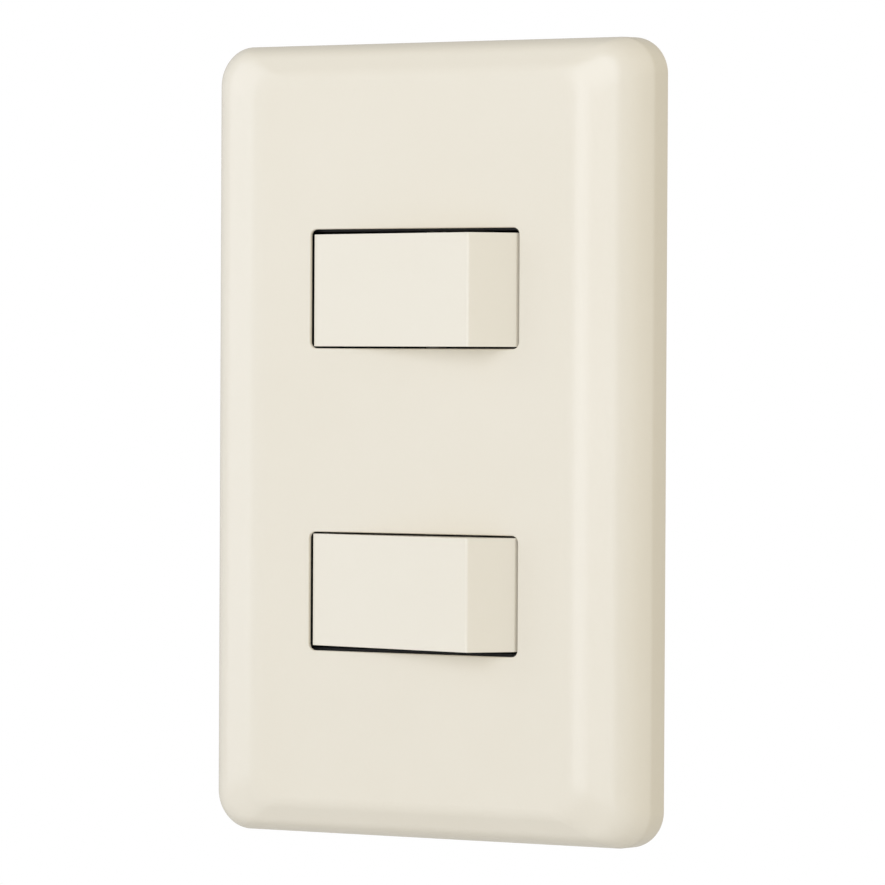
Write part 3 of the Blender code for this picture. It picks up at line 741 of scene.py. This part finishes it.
pan = dome(PAN_RADIUS, 0.9, 1.1) + [(PAN_RADIUS, 0.25), (3.15, 0.0)]
pan += [(SHANK_RADIUS, 0.0), (SHANK_RADIUS, -4.0), (0, -4.0)]
pan[0] = (0, 2.0)
box_screw = turned("fine_box_screw_top", pan, (0, HEAD_Y, BOX_SCREW_Z), (0, -1, 0), 64)
thread_start = (0, HEAD_Y + 1.4, BOX_SCREW_Z)
join(box_screw, threaded("thread", 1.35, 1.7, THREAD_PITCH, THREAD_TURNS, thread_start, (0, 1, 0)))
point = [(0, 0), (SHANK_RADIUS, 0), (0.9, 1.2), (0, 1.2)]
join(box_screw, turned("point", point, (0, HEAD_Y + 23.0, BOX_SCREW_Z), (0, 1, 0)))
cut(box_screw, *cross_recess((0, HEAD_Y - 0.7, BOX_SCREW_Z), (0, -1, 0), 2.0, 0.45, 1.3))
smooth(box_screw, 35)
measure(box_screw)

# %% Terminal screw


def make_terminal_screw(name, side):
    cheese = [(0, 1.5), (2.35, 1.5), (2.62, 1.42), (2.7, 1.2), (2.7, 0.15), (2.55, 0.0)]
    shank = [(1.2, 0.0), (1.2, -2.3), (1.0, -2.5), (0, -2.5)]
    axis = (side, 0, 0)
    screw = turned(name, cheese + shank, (side * 17.5, TERMINAL_Y, MODULE_Z), axis, 56)
    join(screw, threaded("thread", 1.1, 1.4, 0.5, 5, (side * 14.85, TERMINAL_Y, MODULE_Z), axis))
    cut(screw, *cross_recess((side * 18.2, TERMINAL_Y, MODULE_Z), axis, 1.7, 0.4, 0.8))
    return measure(smooth(screw, 35))


common_screw = make_terminal_screw("fine_upper_common_screw", 1)
load_screw = make_terminal_screw("fine_upper_load_screw", -1)

# %% [markdown]
# ## Terminals
# Each clamp is a short square tube. Turning the screw pulls it against the strip's tail and grips the wire
# that lies between them. The strips are stamped and bent from sheet, so a block is cut into bands by
# planes and one band is drawn out into the tail. The bend then gets a radius outside and a smaller one
# inside.

# %% Clamps
CLAMP_HALF_Z = 3.4
CLAMP_WALL_X = 0.9
CLAMP_WALL_Z = 0.8
STRIP_THICK = 0.75
COMMON_Y = 10.95
LOAD_Y = 11.85
TAIL_X = (11.5, 12.3)
TAIL_END_Y = 19.3
STRIP_HALF_Z = 2.2
FIXED_CONTACT_X = -7.55
RIVET_HOLE_RADIUS = 0.75


def make_clamp(name, side):
    walls = module_band(CLAMP_HALF_Z)
    near, far = sorted(side * x for x in CLAMP_X)
    cage = block(name, (near, CLAMP_Y[0], walls[0]), (far, CLAMP_Y[1], walls[1]), 0.7)
    low = (near + CLAMP_WALL_X, CLAMP_Y[0] - 1, walls[0] + CLAMP_WALL_Z)
    high = (far - CLAMP_WALL_X, CLAMP_Y[1] + 1, walls[1] - CLAMP_WALL_Z)
    cut(cage, block("hollow", low, high, 0.3))
    round_edges(cage, 0.12, 2, 50)
    tapped = [(side * x, TERMINAL_Y, MODULE_Z) for x in (14.9, 18)]
    cut(cage, bar("tapped", *tapped, 1.6, 40))
    return measure(smooth(cage))


common_clamp = make_clamp("fine_upper_common_clamp", 1)
load_clamp = make_clamp("fine_upper_load_clamp", -1)

# %% Strips


def band(obj, *places):
    """Cuts a strip across at each X in millimetres and keeps both sides."""
    for x in places:
        trim(obj, (x, 0, 0), (1, 0, 0), keep_both=True)


def bend_edge(x, y):
    return lambda e: runs_along(e, 2) and math.hypot(middle(e).x - x, middle(e).y - y) < 0.02


def make_strip(name, near_x, top_y, side):
    """A flat strip from near_x to the tail, which goes straight back at its far end."""
    inner, outer = (side * x for x in TAIL_X)
    ends = sorted((near_x, outer))
    low = (ends[0], top_y, MODULE_Z - STRIP_HALF_Z)
    strip = block(name, low, (ends[1], top_y + STRIP_THICK, MODULE_Z + STRIP_HALF_Z))
    band(strip, inner)
    edit(strip)
    pick(strip, "faces", lambda f: f.normal.y > 0.9 and abs(middle(f).x) > TAIL_X[0])
    extrude(y=TAIL_END_Y - top_y - STRIP_THICK)
    pick(strip, "edges", bend_edge(outer, top_y))
    bevel_picked(0.7, 6)
    pick(strip, "edges", bend_edge(inner, top_y + STRIP_THICK))
    bevel_picked(0.2, 4)
    done()
    return strip


common_strip = make_strip("fine_upper_common_strip", -1.6, COMMON_Y, 1)
band(common_strip, -0.5, 0, 0.5, 6.9, 7.3, 8.1, 8.5)
edit(common_strip)
pick(common_strip, "edges", bend_edge(0, COMMON_Y))
move(y=-0.15)
pick(common_strip, "faces", lambda f: f.normal.y < -0.9 and 7.3 < middle(f).x < 8.1)
move(y=-0.6)
done()
load_strip = make_strip("fine_upper_load_strip", -5.0, LOAD_Y, -1)
rivet_line = [(FIXED_CONTACT_X, LOAD_Y + y, MODULE_Z) for y in (-1, 2)]
cut(load_strip, bar("rivet_hole", *rivet_line, RIVET_HOLE_RADIUS, 32))
for strip in (common_strip, load_strip):
    round_edges(strip, 0.08, 2, 25)
    measure(smooth(strip))

# %% [markdown]
# ## See-saw contact
# The brass arm is a shallow vee that rocks on a knife edge. The plunger's tip slides along it past the
# middle and snaps it over. A block cut at its middle, with each row of its corners moved down, gives the
# vee. The contacts are silver rivets with slightly domed faces, which roll against each other and so keep
# themselves clean.

# %% Arm and rivets
ARM_PIVOT_Y = 10.5
ARM_REST = math.radians(6)
ARM_VEE = math.radians(10)
ARM_LENGTH = 9.0
ARM_THICK = 0.8
ARM_HEIGHT = 0.81  # the thickness measured straight down through a slanting half
ARM_HALF_Z = 2.5
CONTACT_ALONG = 7.6


def along_arm(corner):
    """How far a corner of the arm is from the arm's middle, to a thousandth of a millimetre."""
    return round(corner.co.x / MM, 3)


arm_end = ARM_LENGTH * math.cos(ARM_VEE)
arm_low = (-arm_end, -ARM_HEIGHT, MODULE_Z - ARM_HALF_Z)
arm = block("fine_upper_contact_arm", arm_low, (arm_end, 0, MODULE_Z + ARM_HALF_Z), 0.6)
band(arm, 0)
edit(arm)
for place in sorted({along_arm(corner) for corner in bmesh.from_edit_mesh(arm.data).verts}):
    pick(arm, "verts", lambda v: along_arm(v) == place)
    move(y=-abs(place) * math.tan(ARM_VEE))
pick(arm, "edges", bend_edge(0, -ARM_HEIGHT))
bevel_picked(0.9, 6)
done()
arm_place = Matrix.Translation((0, ARM_PIVOT_Y * MM, 0)) @ Matrix.Rotation(ARM_REST, 4, "Z")
arm.matrix_world = arm_place
settle(arm)


def arm_point(along, above):
    """A point beside the left arm's underside at rest, in millimetres."""
    c = math.cos(ARM_VEE)
    s = math.sin(ARM_VEE)
    flat = Vector((-along * c + above * s, -along * s - above * c, 0)) * MM
    return (arm_place @ flat) / MM + Vector((0, 0, MODULE_Z))


def rivet(name, grip, start, axis):
    """A rivet from its domed contact face, at the start, to its formed tail."""
    face = [(radius, 0.16 - height) for radius, height in dome(1.3, 0.0, 0.16, 6)]
    face[0] = (0, 0)
    tail_top = 1.2 + grip
    under = tail_top - 0.3
    tail = [(1.3, 0.7), (0.6, 0.7), (0.6, under), (1.0, under), (0.85, tail_top), (0, tail_top)]
    return measure(smooth(turned(name, face + tail, start, axis, 40)))


contact_face = arm_point(CONTACT_ALONG, -0.8)
contact_axis = arm_point(CONTACT_ALONG, 0) - contact_face
hole_ends = (contact_face - contact_axis, contact_face + 4 * contact_axis)
cut(arm, bar("rivet_hole", *hole_ends, RIVET_HOLE_RADIUS, 32))
round_edges(arm, 0.08, 2, 30)
measure(smooth(arm))
moving_contact = rivet("fine_upper_moving_contact", ARM_THICK, contact_face, contact_axis)
fixed_face = (FIXED_CONTACT_X, LOAD_Y - 0.8, MODULE_Z)
fixed_contact = rivet("fine_upper_fixed_contact", STRIP_THICK, fixed_face, (0, 1, 0))

# %% [markdown]
# ## Plunger and spring
# The plunger is a turned pin with a round tip, which slides in the key's tube. The spring behind it is one
# circle carried up a helix by the Screw modifier, with its ends filled.

# %% Plunger and spring
PLUNGER_RADIUS = 1.45
SPRING_RADIUS = 1.2
SPRING_TURNS = 7
SPRING_ENDS = (-7.0, -1.1)
SPRING_LENGTH = SPRING_ENDS[1] - SPRING_ENDS[0]
WIRE_RADIUS = 0.17
TIP_ALONG = -12.4

down = stem_point(1) - stem_point(0)
tip = [(r, TIP_ALONG + PLUNGER_RADIUS - h) for r, h in dome(PLUNGER_RADIUS, 0, PLUNGER_RADIUS, 12)]
pin_line = [(0, 0.5), (1.15, 0.5), (PLUNGER_RADIUS, 0.2)] + tip[::-1]
pin_line[-1] = (0, TIP_ALONG)
plunger = turned("fine_upper_plunger", pin_line, stem_point(0), -down, 48)
measure(smooth(plunger))

start_clean()
bpy.ops.mesh.primitive_circle_add(vertices=14, radius=WIRE_RADIUS * MM)
spring = bpy.context.object
spring.name = "fine_upper_plunger_spring"
spring.matrix_world = Matrix.Translation((SPRING_RADIUS * MM, 0, 0)) @ Matrix.Rotation(math.pi / 2, 4, "X")
settle(spring)
close_up(wind_up(spring, SPRING_LENGTH / SPRING_TURNS, SPRING_TURNS, 40))
edit(spring)
bpy.ops.mesh.select_all(action="SELECT")
bpy.ops.mesh.fill_holes(sides=0)
bpy.ops.mesh.normals_make_consistent(inside=False)
done()
aimed(spring, stem_point(SPRING_ENDS[0]), down)
measure(smooth(spring, 60))

# %% [markdown]
# ## The lower module
# Both modules are the same moulding, one above the other. Each finished piece is copied with a mesh of its
# own and moved down, and the top box screw gives the bottom one.

# %% Lower module
upper_pieces = {
    "rocker": rocker,
    "rocker_housing": collar,
    "rear_casing": casing,
    "common_screw": common_screw,
    "load_screw": load_screw,
    "common_clamp": common_clamp,
    "load_clamp": load_clamp,
    "common_strip": common_strip,
    "load_strip": load_strip,
    "contact_arm": arm,
    "moving_contact": moving_contact,
    "fixed_contact": fixed_contact,
    "plunger": plunger,
    "plunger_spring": spring,
}


def copy_down(obj, name, drop):
    """A copy with its own mesh, lower by a distance in millimetres."""
    copy = obj.copy()
    copy.data = obj.data.copy()
    copy.name = name
    bpy.context.scene.collection.objects.link(copy)
    copy.location = (0, 0, -drop * MM)
    return settle(copy)


lower_pieces = {}
for part, obj in upper_pieces.items():
    lower_pieces[part] = copy_down(obj, "fine_lower_" + part, 2 * MODULE_Z)
box_screw_bottom = copy_down(box_screw, "fine_box_screw_bottom", 2 * BOX_SCREW_Z)
print("pieces in a module:", len(lower_pieces))

# %% [markdown]
# ## Shader helper
# A node tree reads more easily as arithmetic. This class wraps one output socket, so that `wear * 0.2 +
# 0.3` adds the Math nodes that work it out. Any other node comes from `add`, which sets what the node is
# first and then links or fills its sockets.

# %% Sockets with operators


class Wire:
    """One output socket in a node tree. With no socket, it is a start from which the first node is added."""

    def __init__(self, tree, socket=None):
        self.tree = tree
        self.socket = socket

    def add(self, kind, settings=None, sockets=None, output=0):
        """A new node of a kind. Its settings come first, and a ramp's stops are (place, grey) pairs."""
        node = self.tree.nodes.new(kind)
        for name, value in (settings or {}).items():
            if name == "stops":
                set_stops(node.color_ramp, value)
            else:
                setattr(node, name, value)
        for name, value in (sockets or {}).items():
            plug(self.tree, value, node.inputs[name])
        return Wire(self.tree, node.outputs[output])

    def maths(self, operation, first, second):
        return self.add("ShaderNodeMath", {"operation": operation}, {0: first, 1: second})

    def __add__(self, other):
        return self.maths("ADD", self, other)

    def __radd__(self, other):
        return self.maths("ADD", other, self)

    def __sub__(self, other):
        return self.maths("SUBTRACT", self, other)

    def __rsub__(self, other):
        return self.maths("SUBTRACT", other, self)

    def __mul__(self, other):
        return self.maths("MULTIPLY", self, other)

    def __rmul__(self, other):
        return self.maths("MULTIPLY", other, self)


def plug(tree, value, socket):
    """Links a wire to a socket, or sets the socket to a plain value."""
    if isinstance(value, Wire):
        tree.links.new(value.socket, socket)
    else:
        socket.default_value = value


def set_stops(ramp, stops):
    for element, (place, grey) in zip(ramp.elements, stops):
        element.position = place
        element.color = (grey, grey, grey, 1)


# %% Finish helpers


def start_finish(name):
    """A new material, with its shader and a wire that carries the piece's own coordinates in metres."""
    made = bpy.data.materials.new(name)
    made.use_nodes = True
    tree = made.node_tree
    shader = tree.nodes["Principled BSDF"]
    place = Wire(tree).add("ShaderNodeTexCoord", output="Object")
    return made, shader, place


def stretched(place, scale):
    """The coordinates pulled along an axis, for a pattern with a direction."""
    return place.add("ShaderNodeMapping", {}, {"Vector": place, "Scale": scale})


def noise(place, size, detail=3.0, roughness=0.5):
    """Soft random value from 0 to 1, whose patches are about a size in millimetres."""
    sockets = {"Vector": place, "Scale": 1 / (size * MM), "Detail": detail, "Roughness": roughness}
    return place.add("ShaderNodeTexNoise", {}, sockets)


def steps_between(value, low, high):
    """The value with everything below low made 0 and everything above high made 1."""
    return value.add("ShaderNodeValToRGB", {"stops": ((low, 0.0), (high, 1.0))}, {"Fac": value})


def blend_colours(factor, first, second):
    """One colour going over to another. A Mix node takes colours at sockets 6 and 7, and gives one at 2."""
    sockets = {0: factor, 6: (*first, 1), 7: (*second, 1)}
    return factor.add("ShaderNodeMix", {"data_type": "RGBA"}, sockets, output=2)


def bump(height, depth):
    """A normal from a height value, with the full depth in millimetres."""
    return height.add("ShaderNodeBump", {}, {"Height": height, "Distance": depth * MM, "Strength": 1.0})


def finish_with(shader, place, colour, roughness, normal):
    plug(place.tree, colour, shader.inputs["Base Color"])
    plug(place.tree, roughness, shader.inputs["Roughness"])
    plug(place.tree, normal, shader.inputs["Normal"])


# %% [markdown]
# ## Ivory plastic
# Moulded from one tool in a warm white resin, it looks even from a distance. Close to, the pigment varies
# a little in slow clouds, and the gloss carries the faint waviness of the polished steel it was pressed
# against. The plate and the keys come from different batches, so the keys are a touch lighter.

# %% Ivory finishes


def ivory(name, light, dark, gloss):
    made, shader, place = start_finish(name)
    clouds = noise(place, 22, 2)
    specks = noise(place, 0.45, 2)
    polish = noise(place, 5.5, 3, 0.55)
    grain = noise(place, 0.16, 2)
    tone = clouds * 0.7 + specks * 0.3
    colour = blend_colours(steps_between(tone, 0.3, 0.7), dark, light)
    roughness = polish * 0.06 + specks * 0.03 + gloss
    finish_with(shader, place, colour, roughness, bump(polish * 0.92 + grain * 0.08, 0.012))
    shader.inputs["IOR"].default_value = 1.5
    shader.inputs["Specular IOR Level"].default_value = 0.45
    return made


IVORY_GLOSS = 0.2
plate_finish = ivory("ivory_plate_moulding", (0.845, 0.795, 0.688), (0.832, 0.780, 0.668), IVORY_GLOSS)
key_finish = ivory("ivory_key_moulding", (0.862, 0.816, 0.712), (0.850, 0.802, 0.694), IVORY_GLOSS)
print("ivory finishes:", plate_finish.name, "and", key_finish.name)

# %% [markdown]
# ## Dark plastics
# The collars and casings come from a tool with a fine spark-eroded texture, so they look matt and dusty
# grey at a slant. The frame's nylon holds short glass fibres, which show as pale flecks and as flow lines
# along it.

# %% Dark finishes


def matt_moulding(name, light, dark, grain_size, gloss):
    made, shader, place = start_finish(name)
    grain = noise(place, grain_size, 4, 0.6)
    rubs = steps_between(noise(place, 6, 5, 0.6), 0.55, 0.78)
    colour = blend_colours(grain * 0.6 + rubs * 0.4, dark, light)
    finish_with(shader, place, colour, gloss + 0.2 * grain - 0.12 * rubs, bump(grain, 0.02))
    return made


def filled_nylon(name, light, dark):
    made, shader, place = start_finish(name)
    flow = noise(stretched(place, (1.0, 1.0, 0.12)), 1.6, 4)
    fibres = steps_between(noise(stretched(place, (1.0, 1.0, 0.3)), 0.22, 2), 0.6, 0.72)
    colour = blend_colours(flow * 0.5 + fibres * 0.5, dark, light)
    roughness = 0.42 + 0.25 * flow - 0.1 * fibres
    finish_with(shader, place, colour, roughness, bump(flow * 0.4 + fibres * 0.6, 0.015))
    return made


black_finish = matt_moulding("black_moulding", (0.030, 0.030, 0.031), (0.010, 0.010, 0.011), 0.14, 0.42)
nylon_finish = filled_nylon("grey_glass_nylon", (0.150, 0.156, 0.162), (0.075, 0.079, 0.084))
print("dark finishes:", black_finish.name, "and", nylon_finish.name)

# %% [markdown]
# Acetal is a waxy white resin that needs no grease. Its pin has faint rings where the tool's halves closed
# and where it has slid.

# %% Acetal finish


def waxy_white(name):
    made, shader, place = start_finish(name)
    clouds = noise(place, 2.5, 3)
    rings = noise(stretched(place, (0.15, 1.0, 0.15)), 0.25, 2)
    colour = blend_colours(clouds, (0.86, 0.86, 0.82), (0.91, 0.91, 0.885))
    finish_with(shader, place, colour, 0.26 + 0.16 * rings + 0.06 * clouds, bump(rings, 0.006))
    shader.inputs["Subsurface Weight"].default_value = 0.15
    shader.inputs["Subsurface Scale"].default_value = 0.001
    return made


acetal_finish = waxy_white("white_acetal_pin")
print("pin finish:", acetal_finish.name)

# %% [markdown]
# ## Metals
# Each metal keeps the marks of how it was made. Zinc plate is bright with cloudy patches over fine turning
# lines. Brass strip has rolling lines and a little brown tarnish. Wire shows drawing lines and an oil
# film, and the silver faces are dulled in patches by the small arc of each switching.

# %% Metal finishes


def metal(name, bright, dull, line_scale, line_size, patch_size, gloss, line_depth):
    """A bare metal with fine lines in one direction, under patches of a duller tone."""
    made, shader, place = start_finish(name)
    lines = noise(stretched(place, line_scale), line_size, 4, 0.6)
    patches = steps_between(noise(place, patch_size, 4, 0.55), 0.38, 0.68)
    specks = steps_between(noise(place, 0.12, 2), 0.62, 0.75)
    colour = blend_colours(patches * 0.75 + lines * 0.25, bright, dull)
    roughness = gloss + 0.16 * patches + 0.12 * lines + 0.1 * specks
    finish_with(shader, place, colour, roughness, bump(lines * 0.8 + specks * 0.2, line_depth))
    shader.inputs["Metallic"].default_value = 1.0
    return made


zinc_finish = metal(
    "zinc_plated_steel", bright=(0.70, 0.72, 0.74), dull=(0.50, 0.52, 0.55),
    line_scale=(1, 1, 1), line_size=0.35, patch_size=1.8, gloss=0.2, line_depth=0.006,
)
brass_finish = metal(
    "rolled_brass", bright=(0.83, 0.64, 0.33), dull=(0.60, 0.42, 0.19),
    line_scale=(0.06, 1, 1), line_size=0.12, patch_size=2.2, gloss=0.18, line_depth=0.004,
)
wire_finish = metal(
    "drawn_spring_wire", bright=(0.62, 0.62, 0.64), dull=(0.40, 0.40, 0.43),
    line_scale=(1, 0.2, 1), line_size=0.08, patch_size=0.9, gloss=0.2, line_depth=0.003,
)
silver_finish = metal(
    "contact_silver", bright=(0.93, 0.92, 0.90), dull=(0.66, 0.64, 0.60),
    line_scale=(1, 1, 1), line_size=0.2, patch_size=0.8, gloss=0.16, line_depth=0.004,
)
print("metals:", [made.name for made in (zinc_finish, brass_finish, wire_finish, silver_finish)])

# %% [markdown]
# ## Fitting out
# Each piece gets its finish and the body it moves with. The
# keys, pins and see-saws are bodies of their own. All else stays with the housing. The spring shortens as
# its pin slides up the bore.

# %% Finishes and bodies
FINISHES = {
    "rocker": (key_finish, "ivory_rocker"),
    "rocker_housing": (black_finish, "black_plastic"),
    "rear_casing": (black_finish, "black_plastic"),
    "common_screw": (zinc_finish, "zinc_steel"),
    "load_screw": (zinc_finish, "zinc_steel"),
    "common_clamp": (brass_finish, "brass"),
    "load_clamp": (brass_finish, "brass"),
    "common_strip": (brass_finish, "brass"),
    "load_strip": (brass_finish, "brass"),
    "contact_arm": (brass_finish, "brass"),
    "moving_contact": (silver_finish, "contact_silver"),
    "fixed_contact": (silver_finish, "contact_silver"),
    "plunger": (acetal_finish, "white_acetal"),
    "plunger_spring": (wire_finish, "spring_steel"),
}
MOVING = {
    "rocker": "rocker_key",
    "plunger_spring": "rocker_key",
    "plunger": "plunger_pin",
    "contact_arm": "see_saw",
    "moving_contact": "see_saw",
}
PLUNGER_TRAVEL = 1.2


def fit_out(piece, node, finish, body):
    piece.data.materials.clear()
    piece.data.materials.append(finish)
    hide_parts(node)
    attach(piece, body)


for level, pieces in (("upper_", upper_pieces), ("lower_", lower_pieces)):
    for part, piece in pieces.items():
        finish, slot = FINISHES[part]
        body = level + MOVING[part] if part in MOVING else "housing"
        fit_out(piece, level + part, finish, body)
    z = MODULE_Z if level == "upper_" else -MODULE_Z
    keep = 1 - PLUNGER_TRAVEL / SPRING_LENGTH
    anchor = tuple(stem_point(SPRING_ENDS[0], z=z) * MM)
    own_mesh(pieces["plunger_spring"], level + "plunger_slide", axis=tuple(down), anchor=anchor, keep=keep)
fit_out(plate, "cover_plate", plate_finish, "housing")
fit_out(support, "support_frame", nylon_finish, "housing")
fit_out(box_screw, "box_screw_top", zinc_finish, "housing")
fit_out(box_screw_bottom, "box_screw_bottom", zinc_finish, "housing")
print("CAD nodes left showing:", [name for name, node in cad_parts.items() if not node.hide_render])

# %% [markdown]
# ## Floor
# A pale round floor lies a hand's width below the switch, and its edge stays out of the main view. It
# catches a faint shadow when the switch is seen from above. A disc that is filled as it is added needs no
# more work.

# %% Pale floor
FLOOR_Z = -0.16
FLOOR_RADIUS = 0.85


def pale_floor():
    made, shader, place = start_finish("pale_studio_floor")
    cloud = noise(place, 60, 2)
    colour = blend_colours(cloud, (0.86, 0.86, 0.86), (0.89, 0.89, 0.89))
    finish_with(shader, place, colour, 0.7, bump(cloud, 0.1))
    return made


start_clean()
bpy.ops.mesh.primitive_circle_add(vertices=128, radius=FLOOR_RADIUS, fill_type="NGON")
floor = bpy.context.object
floor.location.z = FLOOR_Z
floor.name = "studio_floor"
settle(floor)
floor.data.materials.append(pale_floor())
print("floor:", FLOOR_RADIUS * 2, "m across at", FLOOR_Z, "m")

# %% [markdown]
# ## Studio
# White plastic on white needs light with a direction, or its shape goes. The room itself is the main
# light: it is brighter on some sides than on others, which shades each face a little differently. The
# camera sees it as plain white. Softboxes add what a room can't. A broad weak one fills the front. A
# narrow one almost straight in front draws a soft line down the right margin where it bends, and another
# far round to the left does the same for the left margin. They are hidden from the camera, so other views
# don't catch one in the frame.

# %% Room light
scene = bpy.context.scene
scene.view_settings.view_transform = "Standard"
scene.view_settings.look = "None"
ROOM_BASE = (0.36, 0.34, 0.305)
ROOM_LEFT = (0.23, 0.24, 0.26)
ROOM_RIGHT = (0.5, 0.47, 0.39)
ROOM_UP = (0.12, 0.12, 0.11)


def lobe(value):
    """Brightness that grows towards one side of the room and is 0 on the other side."""
    return value.maths("MAXIMUM", value, 0.0)


room = bpy.data.worlds.new("pale_room")
room.use_nodes = True
tree = room.node_tree
towards = Wire(tree).add("ShaderNodeTexCoord", output="Generated")
x, z = (towards.add("ShaderNodeSeparateXYZ", {}, {"Vector": towards}, output=axis) for axis in (0, 2))
seen = towards.add("ShaderNodeLightPath")
sides = (lobe(x * -1), lobe(x), lobe(z))
glow = []
for base, *amounts in zip(ROOM_BASE, ROOM_LEFT, ROOM_RIGHT, ROOM_UP):
    for amount, side in zip(amounts, sides):
        base = base + amount * side
    glow.append(seen + (1 - seen) * base)
colour = towards.add("ShaderNodeCombineColor", {}, dict(enumerate(glow)))
plug(tree, colour, tree.nodes["Background"].inputs["Color"])
tree.nodes["Background"].inputs["Strength"].default_value = 1.0
scene.world = room
print("room light added:", room.name)

# %% Softboxes


COOL = (0.94, 1.0, 1.12)


def softbox(name, azimuth, elevation, distance, size, power):
    """An area light, slightly cool, that faces the middle of the plate. Its size is its width and height."""
    lamp = bpy.data.lights.new(name, "AREA")
    lamp.shape = "RECTANGLE"
    lamp.size, lamp.size_y = size
    lamp.energy = power
    lamp.color = COOL
    holder = bpy.data.objects.new(name, lamp)
    holder.matrix_world = look_from(azimuth, elevation, 0) @ Matrix.Translation((0, 0, distance))
    holder.visible_camera = False
    scene.collection.objects.link(holder)
    print(f"{name}: {power} W, {azimuth} degrees round")


softbox("front_fill", azimuth=-25, elevation=6, distance=1.8, size=(2.0, 2.0), power=2.4)
softbox("front_strip", azimuth=3, elevation=2, distance=1.6, size=(0.7, 2.4), power=16)
softbox("far_left", azimuth=-64, elevation=5, distance=1.5, size=(0.4, 2.0), power=4)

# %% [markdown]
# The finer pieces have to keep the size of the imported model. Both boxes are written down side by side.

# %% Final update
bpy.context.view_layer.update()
